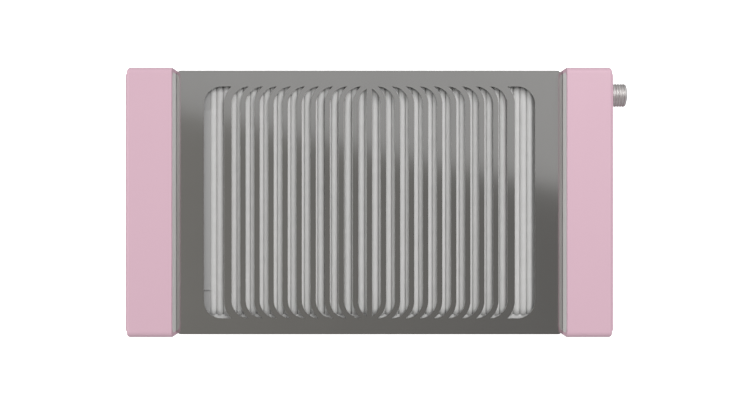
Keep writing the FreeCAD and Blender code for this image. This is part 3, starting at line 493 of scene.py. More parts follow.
# blades stand on a circle of points and turn with it, as the mould's cavity is cut
wheel_tree, inputs = node_group(
    "blower_wheel",
    {"Centre": (0.0, 0.0, 0.0), "Blade count": 32, "Root radius": 0.036},
    ["Hub", "Blade"],
)
circle = add_node(
    wheel_tree,
    "GeometryNodeMeshCircle",
    None,
    {"Vertices": inputs.outputs["Blade count"], "Radius": inputs.outputs["Root radius"]},
)
outward = add_node(wheel_tree, "GeometryNodeInputPosition")
aim = add_node(
    wheel_tree, "FunctionNodeAlignRotationToVector", {"axis": "X"}, {"Vector": outward.outputs[0]}
)
blade = add_node(wheel_tree, "GeometryNodeObjectInfo", None, {"Object": inputs.outputs["Blade"]})
blades = add_node(
    wheel_tree,
    "GeometryNodeInstanceOnPoints",
    None,
    {
        "Points": circle.outputs["Mesh"],
        "Instance": blade.outputs["Geometry"],
        "Rotation": aim.outputs["Rotation"],
    },
)
hub = add_node(wheel_tree, "GeometryNodeObjectInfo", None, {"Object": inputs.outputs["Hub"]})
joined = add_node(
    wheel_tree,
    "GeometryNodeJoinGeometry",
    None,
    {"Geometry": [blades.outputs["Instances"], hub.outputs["Geometry"]]},
)
centred = add_node(
    wheel_tree,
    "GeometryNodeTransform",
    None,
    {"Geometry": joined.outputs["Geometry"], "Translation": inputs.outputs["Centre"]},
)
end_group(wheel_tree, inputs, centred.outputs["Geometry"])


def wheel_hub(height):
    """The wheel's base plate, hollow hub and top ring as one turned form, base at z = 0."""
    rim, hub, wall, bore, plate = (size * MM for size in (44, 22, 1.6, 1.5, 1.5))
    top, fillet = 17 * MM, 1.5 * MM
    profile = [(hub - wall, 0), (rim - 0.3 * MM, 0), (rim, 0.3 * MM), (rim, plate)]
    profile += [(hub + 0.8 * MM, plate), (hub, plate + 0.8 * MM)]
    profile += rounded((hub - fillet, top - fillet), fillet, 0, 90)
    profile += [(bore + 2 * MM, top), (bore, top), (bore, top - wall), (hub - wall, top - wall)]
    shape = turned(profile, (0, 0, 0), steps=96)
    band = [(rim - 3.5 * MM, height - 1.5 * MM), (rim, height - 1.5 * MM)]
    band += [(rim, height - 0.3 * MM), (rim - 0.3 * MM, height), (rim - 3.2 * MM, height)]
    ring = turned(band + [(rim - 3.5 * MM, height - 0.3 * MM)], (0, 0, 0), steps=96)
    mesh = bpy.data.meshes.new("ring")
    ring.to_mesh(mesh)
    ring.free()
    shape.from_mesh(mesh)
    bpy.data.meshes.remove(mesh)
    return shape


def wheel_blade(height):
    """One forward-curved blade from its root on the circle to the rim, swept along an arc."""
    reach, lead, thick = 7.7 * MM, 3.0 * MM, 0.5 * MM
    front, back = [], []
    for step in range(7):
        along = step / 6
        x, y = reach * along, lead * along * along
        slope = 2 * lead * along / reach
        length = sqrt(1 + slope * slope)
        half = thick * (1 - 0.4 * along)
        front.append((x - half * slope / length, y + half / length))
        back.append((x + half * slope / length, y - half / length))
    outline = back + front[::-1]
    levels = (1.0 * MM, height - 1.0 * MM)
    return lofted([[(x, y, z) for x, y in outline] for z in levels])


for number in (1, 2):
    low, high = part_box(f"blower_{number}_impeller")
    hub_form = helper("hub_form", wheel_hub(high.z - low.z))
    blade_form = helper("blade_form", wheel_blade(high.z - low.z))
    mesh = grow(
        wheel_tree,
        bpy.data.meshes.new("wheel"),
        {
            "Centre": ((low.x + high.x) / 2, (low.y + high.y) / 2, low.z),
            "Hub": hub_form,
            "Blade": blade_form,
            "Material": glass_filled_pbt,
        },
    )
    bpy.data.objects.remove(hub_form)
    bpy.data.objects.remove(blade_form)
    place(
        f"moulded_wheel_{number}",
        mesh,
        glass_filled_pbt,
        f"impeller_{number}",
        [f"blower_{number}_impeller"],
    )
    for part in ("scroll", "cover"):
        name, node = f"moulded_{part}_{number}", f"blower_{number}_{part}"
        refine(name, node, glass_filled_pbt, 0.3)
    paint(laminations, f"blower_{number}_stator")
    paint(sintered_bronze, f"blower_{number}_bearings")
    paint(ground_steel, f"blower_{number}_shaft")

# a guard is a set of thin bars moulded as rings, with two bars across and a deeper rim
guard_tree, inputs = node_group(
    "inlet_guard",
    {
        "Centre": (0.0, 0.0, 0.0),
        "Ring count": 4,
        "First radius": 0.0092,
        "Ring step": 0.009,
        "Rim radius": 0.0439,
        "Bar": 0.0015,
        "Rim height": 0.0034,
    },
)
line = add_node(
    guard_tree,
    "GeometryNodeMeshLine",
    {"Offset": (0, 0, 0)},
    {"Count": inputs.outputs["Ring count"]},
)
count = add_node(guard_tree, "GeometryNodeInputIndex")
radius = add_node(
    guard_tree,
    "ShaderNodeMath",
    {"operation": "MULTIPLY_ADD"},
    {0: count.outputs[0], 1: inputs.outputs["Ring step"], 2: inputs.outputs["First radius"]},
)
unit_ring = add_node(
    guard_tree, "GeometryNodeCurvePrimitiveCircle", {"Resolution": 72, "Radius": 1.0}
)
rings = add_node(
    guard_tree,
    "GeometryNodeInstanceOnPoints",
    None,
    {
        "Points": line.outputs["Mesh"],
        "Instance": unit_ring.outputs["Curve"],
        "Scale": radius.outputs[0],
    },
)
spoke = add_node(
    guard_tree,
    "GeometryNodeCurvePrimitiveLine",
    {"mode": "DIRECTION", "Direction": (1, 0, 0)},
    {"Length": inputs.outputs["Rim radius"]},
)
four = add_node(guard_tree, "GeometryNodeMeshLine", {"Count": 4, "Offset": (0, 0, 0)})
quarter = add_node(
    guard_tree,
    "ShaderNodeMath",
    {"operation": "MULTIPLY", 1: pi / 2},
    {0: count.outputs[0]},
)
quarter_turn = add_node(
    guard_tree, "ShaderNodeCombineXYZ", None, {"Z": quarter.outputs[0]}
)
spokes = add_node(
    guard_tree,
    "GeometryNodeInstanceOnPoints",
    None,
    {
        "Points": four.outputs["Mesh"],
        "Instance": spoke.outputs["Curve"],
        "Rotation": quarter_turn.outputs["Vector"],
    },
)
wires = add_node(
    guard_tree,
    "GeometryNodeJoinGeometry",
    None,
    {"Geometry": [rings.outputs["Instances"], spokes.outputs["Instances"]]},
)
real_wires = add_node(
    guard_tree, "GeometryNodeRealizeInstances", None, {"Geometry": wires.outputs["Geometry"]}
)
rim_path = add_node(
    guard_tree,
    "GeometryNodeCurvePrimitiveCircle",
    {"Resolution": 96},
    {"Radius": inputs.outputs["Rim radius"]},
)
swept = []
for path, height in (
    (real_wires.outputs["Geometry"], "Bar"),
    (rim_path.outputs["Curve"], "Rim height"),
):
    section = add_node(
        guard_tree,
        "GeometryNodeCurvePrimitiveQuadrilateral",
        None,
        {"Width": inputs.outputs["Bar"], "Height": inputs.outputs[height]},
    )
    soft_section = add_node(
        guard_tree,
        "GeometryNodeFilletCurve",
        {"mode": "POLY", "Count": 2, "Radius": 0.3 * MM},
        {"Curve": section.outputs["Curve"]},
    )
    bars = add_node(
        guard_tree,
        "GeometryNodeCurveToMesh",
        {"Fill Caps": True},
        {"Curve": path, "Profile Curve": soft_section.outputs["Curve"]},
    )
    swept.append(bars.outputs["Mesh"])
drop = add_node(
    guard_tree,
    "ShaderNodeMath",
    {"operation": "SUBTRACT"},
    {0: inputs.outputs["Bar"], 1: inputs.outputs["Rim height"]},
)
half_drop = add_node(
    guard_tree, "ShaderNodeMath", {"operation": "MULTIPLY", 1: 0.5}, {0: drop.outputs[0]}
)
lower = add_node(guard_tree, "ShaderNodeCombineXYZ", None, {"Z": half_drop.outputs[0]})
lowered = add_node(
    guard_tree,
    "GeometryNodeTransform",
    None,
    {"Geometry": swept[1], "Translation": lower.outputs["Vector"]},
)
joined = add_node(
    guard_tree,
    "GeometryNodeJoinGeometry",
    None,
    {"Geometry": [swept[0], lowered.outputs["Geometry"]]},
)
centred = add_node(
    guard_tree,
    "GeometryNodeTransform",
    None,
    {"Geometry": joined.outputs["Geometry"], "Translation": inputs.outputs["Centre"]},
)
end_group(guard_tree, inputs, centred.outputs["Geometry"])

for number in (1, 2):
    low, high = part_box(f"inlet_guard_{number}")
    bar = 1.4 * MM
    mesh = grow(
        guard_tree,
        bpy.data.meshes.new("guard"),
        {
            "Centre": ((low.x + high.x) / 2, (low.y + high.y) / 2, high.z - bar / 2),
            "Bar": bar,
            "Rim height": high.z - low.z,
            "Rim radius": (high.x - low.x) / 2 - bar / 2,
            "Material": glass_filled_pbt,
        },
    )
    place(
        f"ring_guard_{number}",
        mesh,
        glass_filled_pbt,
        "housing",
        [f"inlet_guard_{number}"],
    )

# a screw near each corner of both blowers, 100 mm apart
low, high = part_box("blower_screws")
deck_top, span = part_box("fan_deck")[1].z, 100 * MM
columns = (low.x + HEAD, low.x + HEAD + span, high.x - HEAD - span, high.x - HEAD)
fit_screws(
    "blower_pan_screws",
    "blower_screws",
    [(x, y, deck_top) for x in columns for y in (low.y + HEAD, high.y - HEAD)],
    deck_top - low.z,
    (0.0, 0.0, 0.0),
    5,
)
paint(closed_cell_foam, "blower_pads")

# ---------------------------------------------------------------- power supply
# An open board on four posts in front of the blowers: solder-masked glass laminate, with black
# moulded parts soldered to it and PVC-sheathed leads to the blowers.

# solder mask: green lacquer over glass cloth, with copper tracks showing paler through it
solder_mask, tree, shader = new_material(
    "glass_laminate_solder_masked", **{"Roughness": 0.35, "IOR": 1.54, "Coat Weight": 0.2}
)
tracks = pattern(
    tree,
    "ShaderNodeTexBrick",
    {
        "Scale": 1.0,
        "Brick Width": 9 * MM,
        "Row Height": 2.4 * MM,
        "Mortar Size": 0.4 * MM,
        "Color1": linear("#1c5a3a"),
        "Color2": linear("#226543"),
        "Mortar": linear("#3d8a5f"),
    },
)
tree.links.new(tracks.outputs["Color"], shader.inputs["Base Color"])
vary(tree, shader, tracks.outputs["Fac"], relief=(0.5, 0.04 * MM))

# moulded epoxy: charcoal, dull, with a fine spark-eroded grain of about 0.1 mm
moulded_epoxy, tree, shader = new_material(
    "epoxy_transfer_moulded", **{"Roughness": 0.5, "IOR": 1.55}
)
grit = pattern(tree, "ShaderNodeTexNoise", {"Scale": 1 / (0.1 * MM), "Detail": 2.0})
vary(tree, shader, grit.outputs["Fac"], ("#2b2b2e", "#3f3f43"))

# extruded PVC sheath: black, with faint draw lines every 0.4 mm round the lead
pvc_sheath, tree, shader = new_material("pvc_extruded", **{"Roughness": 0.42, "IOR": 1.54})
drawn = pattern(tree, "ShaderNodeTexNoise", {"Scale": 1 / (0.4 * MM), "Detail": 2.0})
vary(tree, shader, drawn.outputs["Fac"], ("#2a2a2b", "#3a3a3b"))

for node, material, slot in (
    ("supply_board", solder_mask, "green_laminate"),
    ("supply_components", moulded_epoxy, "component_plastic"),
    ("supply_posts", zinc_plate, "zinc_steel"),
):
    refine(f"fitted_{node}", node, material, 0.15)
low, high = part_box("supply_screws")
seat = high.z - CROWN
fit_screws(
    "supply_pan_screws",
    "supply_screws",
    [(x, y, seat) for x in (low.x + HEAD, high.x - HEAD) for y in (low.y + HEAD, high.y - HEAD)],
    seat - low.z,
    (0.0, 0.0, 0.0),
    9,
)
paint(pvc_sheath, "blower_leads")

# ---------------------------------------------------------------- side plates and end caps
# Laser-cut steel plates, powder coated light grey, close the tray's ends. A satin pink ABS cap,
# injection moulded, is screwed over each, and a flat panel pressed into it hides the screws.

# powder coat: light grey with the orange peel of about 0.8 mm that the stove leaves
powder_coat, tree, shader = new_material(
    "steel_powder_coated", **{"Roughness": 0.45, "IOR": 1.5}
)
peel = pattern(tree, "ShaderNodeTexNoise", {"Scale": 1 / (0.8 * MM), "Detail": 1.0})
vary(tree, shader, peel.outputs["Fac"], ("#efedeb", "#f2f0ee"), relief=(0.3, 0.03 * MM))

# satin ABS: pale pink pigment with the faintest flow clouds, and a spark-eroded skin whose
# 0.12 mm grain is drawn at 0.3 mm so that it can be seen at arm's length
satin_abs, tree, shader = new_material(
    "abs_injection_moulded_satin", **{"IOR": 1.53, "Specular IOR Level": 0.45}
)
flow = pattern(
    tree, "ShaderNodeTexNoise", {"Scale": 1 / (40 * MM), "Detail": 3.0, "Roughness": 0.5}
)
vary(tree, shader, flow.outputs["Fac"], ("#e7c0d0", "#e9c3d2"))
grain = pattern(
    tree, "ShaderNodeTexNoise", {"Scale": 1 / (0.3 * MM), "Detail": 3.0, "Roughness": 0.6}
)
vary(tree, shader, grain.outputs["Fac"], roughness=(0.42, 0.55), relief=(0.35, 0.02 * MM))

for side in ("left", "right"):
    for part, name, material, slot, edge in (
        ("side_plate", "coated_plate", powder_coat, "coated_steel", 0.1),
        ("cap", "moulded_cap", satin_abs, "pink_abs", 0.35),
        ("side_panel", "pressed_panel", satin_abs, "pink_abs", 0.15),
    ):
        refine(f"{name}_{side}", f"{side}_{part}", material, edge)
    low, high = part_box(f"{side}_cap_screws")
    outward = 1 if side == "right" else -1
    seat = high.x - CROWN if outward > 0 else low.x + CROWN
    tip = low.x if outward > 0 else high.x
    lower_y, upper_y = 60 * MM, high.y - HEAD
    heights = ((lower_y, low.z + HEAD), (upper_y, high.z - HEAD))
    fit_screws(
        f"cap_pan_screws_{side}",
        f"{side}_cap_screws",
        [(seat, hand * y, z) for hand in (-1, 1) for y, z in heights],
        abs(seat - tip),
        (0.0, outward * pi / 2, 0.0),
        21 + outward,
    )

# ---------------------------------------------------------------- speed regulator and knob
# A potentiometer with its own small board sits behind the right panel. Its knob is turned from
# aluminium bar, with six ring grooves for grip, and a set screw holds it to the spindle.

# turned aluminium: bright, with tool rings 0.2 mm apart along the bar's axis, drawn at 1.26 mm
turned_aluminium, tree, shader = new_material("aluminium_turned", **{"Metallic": 1.0})
tool_rings = pattern(
    tree,
    "ShaderNodeTexWave",
    {
        "bands_direction": "X",
        "Scale": band_scale(1.2566 * MM),
        "Distortion": 0.6,
        "Detail": 1.0,
    },
)
vary(
    tree,
    shader,
    tool_rings.outputs["Fac"],
    ("#dfdddb", "#eae8e6"),
    roughness=(0.5, 0.58),
    relief=(0.2, 0.01 * MM),
)

for node, material, slot in (
    ("speed_regulator", zinc_plate, "zinc_steel"),
    ("regulator_nut", zinc_plate, "zinc_steel"),
    ("regulator_board", solder_mask, "green_laminate"),
    ("regulator_components", moulded_epoxy, "component_plastic"),
):
    refine(f"fitted_{node}", node, material, 0.12)
paint(pvc_sheath, "regulator_lead", "mains_lead")
paint(ground_steel, "regulator_spindle", "knob_set_screw")


def joined_or_cut(form, tools, operation):
    """The plain mesh of a form with tools joined to it or cut from it; form and tools go."""
    into_scene(form)
    for tool in tools:
        step = form.modifiers.new(tool.name, "BOOLEAN")
        step.operation, step.solver, step.object = operation, "EXACT", tool
    mesh = finished(form)
    for tool in tools:
        bpy.data.objects.remove(tool)
    return mesh


# the knob's profile runs from its open back, over the grooves, to its tip and down the bore
low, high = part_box("speed_knob")
back, tip, radius = low.x, high.x, (high.y - low.y) / 2
axis_y, axis_z, length = (low.y + high.y) / 2, (low.z + high.z) / 2, high.x - low.x
bore, nut_room, pitch, groove, curl = (size * MM for size in (3.03, 6.2, 1.9, 0.6, 1.2))
bore_end, nut_room_end = length - 4.2 * MM, 2.4 * MM
first_groove, groove_count, half_groove = 2.0 * MM, 6, 0.62 * MM
profile = [(nut_room, 0), (radius - 0.5 * MM, 0), (radius - 0.15 * MM, 0.15 * MM)]
profile += [(radius, 0.5 * MM)]
for number in range(groove_count):
    middle = first_groove + number * pitch
    profile.append((radius, middle - half_groove))
    for across, depth in ((-0.42, 0.3), (-0.16, 1.0), (0.16, 1.0), (0.42, 0.3)):
        profile.append((radius - groove * depth, middle + across * MM))
    profile.append((radius, middle + half_groove))
profile += rounded((radius - curl, length - curl), curl, 0, 80, 7)
profile += [(radius * 0.4, length - 0.1 * MM), (0, length), (0, bore_end)]
profile += [(bore, bore_end), (bore, nut_room_end), (nut_room, nut_room_end)]
knob_form = helper("knob_form", turned(profile, (back, axis_y, axis_z), axis="X", steps=96))
screw_x, screw_radius, sides = tip - 7.7 * MM, 1.52 * MM, 24
hole_rings = [
    [
        (
            screw_x + screw_radius * cos(2 * pi * step / sides),
            axis_y + screw_radius * sin(2 * pi * step / sides),
            z,
        )
        for step in range(sides)
    ]
    for z in (axis_z - radius - 1 * MM, axis_z - bore * 0.5)
]
drill = helper("set_screw_hole", lofted(hole_rings))
mesh = joined_or_cut(knob_form, [drill], "DIFFERENCE")
place("turned_knob", mesh, turned_aluminium, "knob", ["speed_knob"])

# ---------------------------------------------------------------- mains inlet
# A three-pin appliance inlet snaps into the rear wall of the right cap: black glass-filled PBT
# with nickel-washed brass pins. Its lead passes the side plate through a rubber grommet.

# nickel-washed brass: warm pale metal with faint wear streaks from the plug
nickel_washed_brass, tree, shader = new_material("brass_nickel_washed", **{"Metallic": 1.0})
wear = pattern(tree, "ShaderNodeTexNoise", {"Scale": 1 / (0.6 * MM), "Detail": 3.0})
vary(tree, shader, wear.outputs["Fac"], ("#cfc6b0", "#ded9cd"), roughness=(0.2, 0.36))

refine("moulded_inlet", "inlet_housing", glass_filled_pbt, 0.2)
refine("inlet_blades", "inlet_pins", nickel_washed_brass, 0.3)
paint(moulded_rubber, "cable_grommet")

# ---------------------------------------------------------------- filter cartridge
# Glass-fibre paper folded into 48 pleats and bonded into a grey moulded frame. The frame rests
# on a foam gasket in a moulded seat, and a thin strip on its left edge lifts it out.


def outline_ring(low_x, low_y, high_x, high_y, radius, z, steps=5):
    """A level rounded rectangle as one ring of points."""
    points = []
    for turn, (x, y) in enumerate(
        (
            (high_x - radius, high_y - radius),
            (low_x + radius, high_y - radius),
            (low_x + radius, low_y + radius),
            (high_x - radius, low_y + radius),
        )
    ):
        points += [
            (px, py, z) for px, py in rounded((x, y), radius, 90 * turn, 90 * turn + 90, steps)
        ]
    return points


# grey polypropylene: slightly waxy, with a fine 0.25 mm moulding grain
moulded_polypropylene, tree, shader = new_material(
    "polypropylene_moulded_grey", **{"IOR": 1.49}
)
grain = pattern(tree, "ShaderNodeTexNoise", {"Scale": 1 / (0.25 * MM), "Detail": 2.0})
vary(
    tree,
    shader,
    grain.outputs["Fac"],
    ("#b2b2b2", "#b9b9b8"),
    roughness=(0.35, 0.5),
    relief=(0.2, 0.02 * MM),
)

# glass-fibre paper: white and matt, with fibres about 0.1 mm thick crossing every way, drawn
# at 0.35 mm, and soft clouds a few millimetres wide where the felt is denser
filter_paper, tree, shader = new_material(
    "paper_glass_fibre_pleated", **{"Roughness": 0.8, "IOR": 1.46, "Specular IOR Level": 0.3}
)
fibres = pattern(
    tree,
    "ShaderNodeTexNoise",
    {"Scale": 1 / (0.35 * MM), "Detail": 5.0, "Roughness": 0.75, "Distortion": 1.2},
)
felt = pattern(tree, "ShaderNodeTexNoise", {"Scale": 1 / (6 * MM), "Detail": 2.0})
density = add_node(
    tree,
    "ShaderNodeMath",
    {"operation": "MULTIPLY"},
    {0: fibres.outputs["Fac"], 1: felt.outputs["Fac"]},
)
vary(tree, shader, density.outputs[0], ("#dddddc", "#f6f6f5"))
vary(tree, shader, fibres.outputs["Fac"], relief=(0.2, 0.04 * MM))

refine("moulded_filter_seat", "filter_seat", glass_filled_pbt, 0.2)


def inset_box(box, by):
    """A rectangle (low x, low y, high x, high y) with each side moved inwards."""
    return (box[0] + by, box[1] + by, box[2] - by, box[3] - by)


# the gasket's section swells at half height: rings up its outer side, then down its inner side
low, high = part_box("filter_gasket")
outer, width, swell = (low.x, low.y, high.x, high.y), 5.0 * MM, 0.25 * MM
levels = ((low.z, swell), ((low.z + high.z) / 2, 0.0), (high.z, swell))
rings = [outline_ring(*inset_box(outer, pinch), 2.0 * MM, z) for z, pinch in levels]
for z, pinch in levels[::-1]:
    rings.append(outline_ring(*inset_box(outer, width - pinch), 1.0 * MM, z))
gasket = place(
    "foam_gasket",
    lofted(rings, cyclic=True),
    closed_cell_foam,
    "filter",
    ["filter_gasket"],
)

# the frame's rings go up its outer side, over the rail round the paper, down to the lip that
# carries the paper, and in under it
low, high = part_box("filter_frame")
paper_low, paper_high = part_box("filter_pleats")
paper_low.x -= 1.5 * MM  # the first fold is half hidden under the pull strip
gap, lip, lip_height, fillet = (size * MM for size in (0.3, 3.0, 1.0, 0.5))
outer = (low.x, low.y, high.x, high.y)
rail = (paper_low.x + 2 * gap, paper_low.y - gap, paper_high.x - gap, paper_high.y + gap)
inner = inset_box((paper_low.x, paper_low.y, paper_high.x, paper_high.y), lip)
rings = [
    outline_ring(*inset_box(outer, 0.3 * MM), 2.0 * MM, low.z),
    outline_ring(*outer, 2.0 * MM, low.z + 0.3 * MM),
]
for out, up in rounded((-fillet, -fillet), fillet, 0, 90):
    rings.append(outline_ring(*inset_box(outer, -out), 2.0 * MM, high.z + up))
for out, up in rounded((-fillet, -fillet), fillet, 90, 0):
    rings.append(outline_ring(*inset_box(rail, out), 0.8 * MM, high.z + up))
rings += [
    outline_ring(*rail, 0.8 * MM, low.z + lip_height),
    outline_ring(*inset_box(inner, -0.2 * MM), 0.8 * MM, low.z + lip_height),
    outline_ring(*inner, 0.8 * MM, low.z + lip_height - 0.2 * MM),
    outline_ring(*inner, 0.8 * MM, low.z),
]
place(
    "moulded_filter_frame",
    lofted(rings, cyclic=True),
    moulded_polypropylene,
    "filter",
    ["filter_frame"],
)

low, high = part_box("filter_pull_strip")
outer, fillet, corner = (low.x, low.y, high.x, high.y), 0.4 * MM, 0.6 * MM
rings = [outline_ring(*outer, corner, low.z)]
for out, up in rounded((-fillet, -fillet), fillet, 0, 90):
    rings.append(outline_ring(*inset_box(outer, -out), corner, high.z + up))
place(
    "moulded_pull_strip",
    lofted(rings),
    moulded_polypropylene,
    "filter",
    ["filter_pull_strip"],
)

# the pleats: a grid whose columns follow each fold, round over the crest and straight down the
# walls; the crests sway a little, as paper does between its glue lines
pleat_count, paper_thickness = 48, 0.45 * MM
pleat_tree, inputs = node_group(
    "folded_paper",
    {
        "Corner": (0.0, 0.0, 0.0),
        "Pitch": 0.00468,
        "Pleat count": pleat_count,
        "Depth": 0.16,
        "Height": 0.02,
        "Crest radius": 0.0023,
        "Sway": 0.00004,
        "Seed": 7,
    },
)
here = add_node(pleat_tree, "GeometryNodeInputPosition")
from_corner = add_node(
    pleat_tree,
    "ShaderNodeVectorMath",
    {"operation": "SUBTRACT"},
    {0: here.outputs[0], 1: inputs.outputs["Corner"]},
)
split = add_node(pleat_tree, "ShaderNodeSeparateXYZ", None, {"Vector": from_corner.outputs[0]})
along_crest = add_node(pleat_tree, "ShaderNodeCombineXYZ", None, {"Z": inputs.outputs["Seed"]})
drift = add_node(
    pleat_tree,
    "ShaderNodeTexNoise",
    {"Scale": 1.0, "Detail": 1.0},
    {"Vector": along_crest.outputs[0]},
)

# a fold's arithmetic, step by step: what it works out, how, and from which terms; the sheet
# bends round the crest for the arc's share of a half pleat, then goes straight down the wall
columns_per_pleat, rows, arc_share, arc_end = 20, 33, 0.85, radians(84)
# how far the sway's noise moves on from pleat to pleat, and in each metre along a crest
drift_per_pleat, drift_per_metre = 3.7, 18.0
known = {socket.name: socket for socket in inputs.outputs}
known.update(x=split.outputs["X"], y=split.outputs["Y"], drift=drift.outputs["Fac"])
for result, operation, *terms in (
    ("width", "MULTIPLY", "Pitch", "Pleat count"),
    ("columns", "MULTIPLY_ADD", "Pleat count", columns_per_pleat, 1),
    ("x in pleats", "DIVIDE", "x", "Pitch"),
    ("x off the seam", "ADD", "x in pleats", 1e-4),
    ("pleat", "FLOOR", "x off the seam"),
    ("x in pleat", "SUBTRACT", "x in pleats", "pleat"),
    ("from crest", "SUBTRACT", "x in pleat", 0.5),
    ("side", "SIGN", "from crest"),
    ("distance", "ABSOLUTE", "from crest"),
    ("share", "MULTIPLY", "distance", 2.0),
    ("share of arc", "DIVIDE", "share", arc_share),
    ("on arc", "MINIMUM", "share of arc", 1.0),
    ("turn", "MULTIPLY", "on arc", arc_end),
    ("past arc", "SUBTRACT", "share", arc_share),
    ("on wall", "MAXIMUM", "past arc", 0.0),
    ("down wall", "DIVIDE", "on wall", 1 - arc_share),
    ("sine", "SINE", "turn"),
    ("arc reach", "MULTIPLY", "Crest radius", "sine"),
    ("cosine", "COSINE", "turn"),
    ("versine", "SUBTRACT", 1.0, "cosine"),
    ("arc drop", "MULTIPLY", "Crest radius", "versine"),
    ("less arc reach", "MULTIPLY", "Crest radius", -sin(arc_end)),
    ("wall reach", "MULTIPLY_ADD", "Pitch", 0.5, "less arc reach"),
    ("whole arc drop", "MULTIPLY", "Crest radius", 1 - cos(arc_end)),
    ("wall drop", "SUBTRACT", "Height", "whole arc drop"),
    ("reach", "MULTIPLY_ADD", "down wall", "wall reach", "arc reach"),
    ("drop", "MULTIPLY_ADD", "down wall", "wall drop", "arc drop"),
    ("middle in pleats", "ADD", "pleat", 0.5),
    ("crest at", "MULTIPLY", "middle in pleats", "Pitch"),
    ("drift from pleat", "MULTIPLY", "pleat", drift_per_pleat),
    ("drift along crest", "MULTIPLY", "y", drift_per_metre),
    ("above floor", "SUBTRACT", 1.0, "down wall"),
    ("even drift", "SUBTRACT", "drift", 0.5),
    ("crest sway", "MULTIPLY", "even drift", "Sway"),
    ("sway", "MULTIPLY", "crest sway", "above floor"),
    ("x on fold", "MULTIPLY_ADD", "side", "reach", "crest at"),
    ("x now", "ADD", "x on fold", "sway"),
    ("z on fold", "SUBTRACT", "Height", "drop"),
    ("sway down", "ABSOLUTE", "sway"),
    ("z now", "SUBTRACT", "z on fold", "sway down"),
):
    numbers = {n: term for n, term in enumerate(terms) if not isinstance(term, str)}
    sockets = {n: known[term] for n, term in enumerate(terms) if isinstance(term, str)}
    step = add_node(pleat_tree, "ShaderNodeMath", {"operation": operation, **numbers}, sockets)
    known[result] = step.outputs[0]
pleat_tree.links.new(known["drift from pleat"], along_crest.inputs["X"])
pleat_tree.links.new(known["drift along crest"], along_crest.inputs["Y"])

# the flat grid, and each of its points moved on to the fold
grid = add_node(
    pleat_tree,
    "GeometryNodeMeshGrid",
    {"Vertices Y": rows},
    {"Size X": known["width"], "Size Y": known["Depth"], "Vertices X": known["columns"]},
)
sheet_size = add_node(
    pleat_tree, "ShaderNodeCombineXYZ", None, {"X": known["width"], "Y": known["Depth"]}
)
to_corner = add_node(
    pleat_tree,
    "ShaderNodeVectorMath",
    {"operation": "MULTIPLY_ADD", 1: (0.5, 0.5, 0.5)},
    {0: sheet_size.outputs[0], 2: known["Corner"]},
)
flat = add_node(
    pleat_tree,
    "GeometryNodeTransform",
    None,
    {"Geometry": grid.outputs["Mesh"], "Translation": to_corner.outputs[0]},
)
in_box = add_node(
    pleat_tree,
    "ShaderNodeCombineXYZ",
    None,
    {"X": known["x now"], "Y": known["y"], "Z": known["z now"]},
)
in_place = add_node(
    pleat_tree,
    "ShaderNodeVectorMath",
    {"operation": "ADD"},
    {0: in_box.outputs[0], 1: known["Corner"]},
)
folded = add_node(
    pleat_tree,
    "GeometryNodeSetPosition",
    None,
    {"Geometry": flat.outputs["Geometry"], "Position": in_place.outputs[0]},
)
end_group(pleat_tree, inputs, folded.outputs["Geometry"])
mesh = grow(
    pleat_tree,
    bpy.data.meshes.new("paper"),
    {
        "Corner": (paper_low.x, paper_low.y, paper_low.z + paper_thickness),
        "Pitch": (paper_high.x - paper_low.x) / pleat_count,
        "Depth": paper_high.y - paper_low.y,
        "Height": paper_high.z - paper_low.z - paper_thickness,
        "Material": filter_paper,
    },
)
pleats = place(
    "folded_filter_paper", mesh, filter_paper, "filter", ["filter_pleats"]
)
thickness = pleats.modifiers.new("paper_thickness", "SOLIDIFY")
thickness.thickness = paper_thickness
thickness.offset = -1

# the paper's front edge is turned out flat over the frame as a narrow white band
frame_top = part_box("filter_frame")[1].z
band_front, band_rear, corner, fillet = (size * MM for size in (3.4, 0.6, 0.3, 0.2))
band = (paper_low.x, paper_low.y - band_front, paper_high.x, paper_low.y + band_rear)
rings = [outline_ring(*band, corner, frame_top)]
for out, up in rounded((-fillet, paper_thickness - fillet), fillet, 0, 90):
    rings.append(outline_ring(*inset_box(band, -out), corner, frame_top + up))
place("paper_front_band", lofted(rings), filter_paper, "filter", [])

# ---------------------------------------------------------------- cover catches
# Zinc-plated angle brackets on the tray's tabs hold one nickel-plated disc magnet under each
# corner of the cover.

# nickel plate: bright and faintly yellow, with a soft haze from the plating bath
nickel_plate, tree, shader = new_material("nickel_barrel_plated", **{"Metallic": 1.0})
haze = pattern(tree, "ShaderNodeTexNoise", {"Scale": 1 / (2 * MM), "Detail": 3.0})
vary(tree, shader, haze.outputs["Fac"], ("#cac6bd", "#d8d5cd"), roughness=(0.12, 0.26))

refine("folded_brackets", "magnet_brackets", zinc_plate, 0.12)
refine("plated_magnets", "cover_magnets", nickel_plate, 0.1)

# ---------------------------------------------------------------- slotted cover
# One 1.5 mm stainless sheet, laser cut with bent slots and polished to a satin mirror, its front
# and rear edges folded down. It drops on the tray and the magnets hold it.

# polished stainless: a soft mirror, with hairlines from the last belt about 0.25 mm apart
polished_stainless, tree, shader = new_material("stainless_polished", **{"Metallic": 1.0})
hairlines = pattern(
    tree,
    "ShaderNodeTexNoise",
    {"Scale": 1.0, "Detail": 2.0},
    stretch=(20 * MM, 0.25 * MM, 0.25 * MM),
)
vary(tree, shader, hairlines.outputs["Fac"], roughness=(0.085, 0.115), relief=(0.02, 0.01 * MM))
clouds = pattern(tree, "ShaderNodeTexNoise", {"Scale": 1 / (30 * MM), "Detail": 2.0})
vary(tree, shader, clouds.outputs["Fac"], ("#c6c5c3", "#cccbc9"))

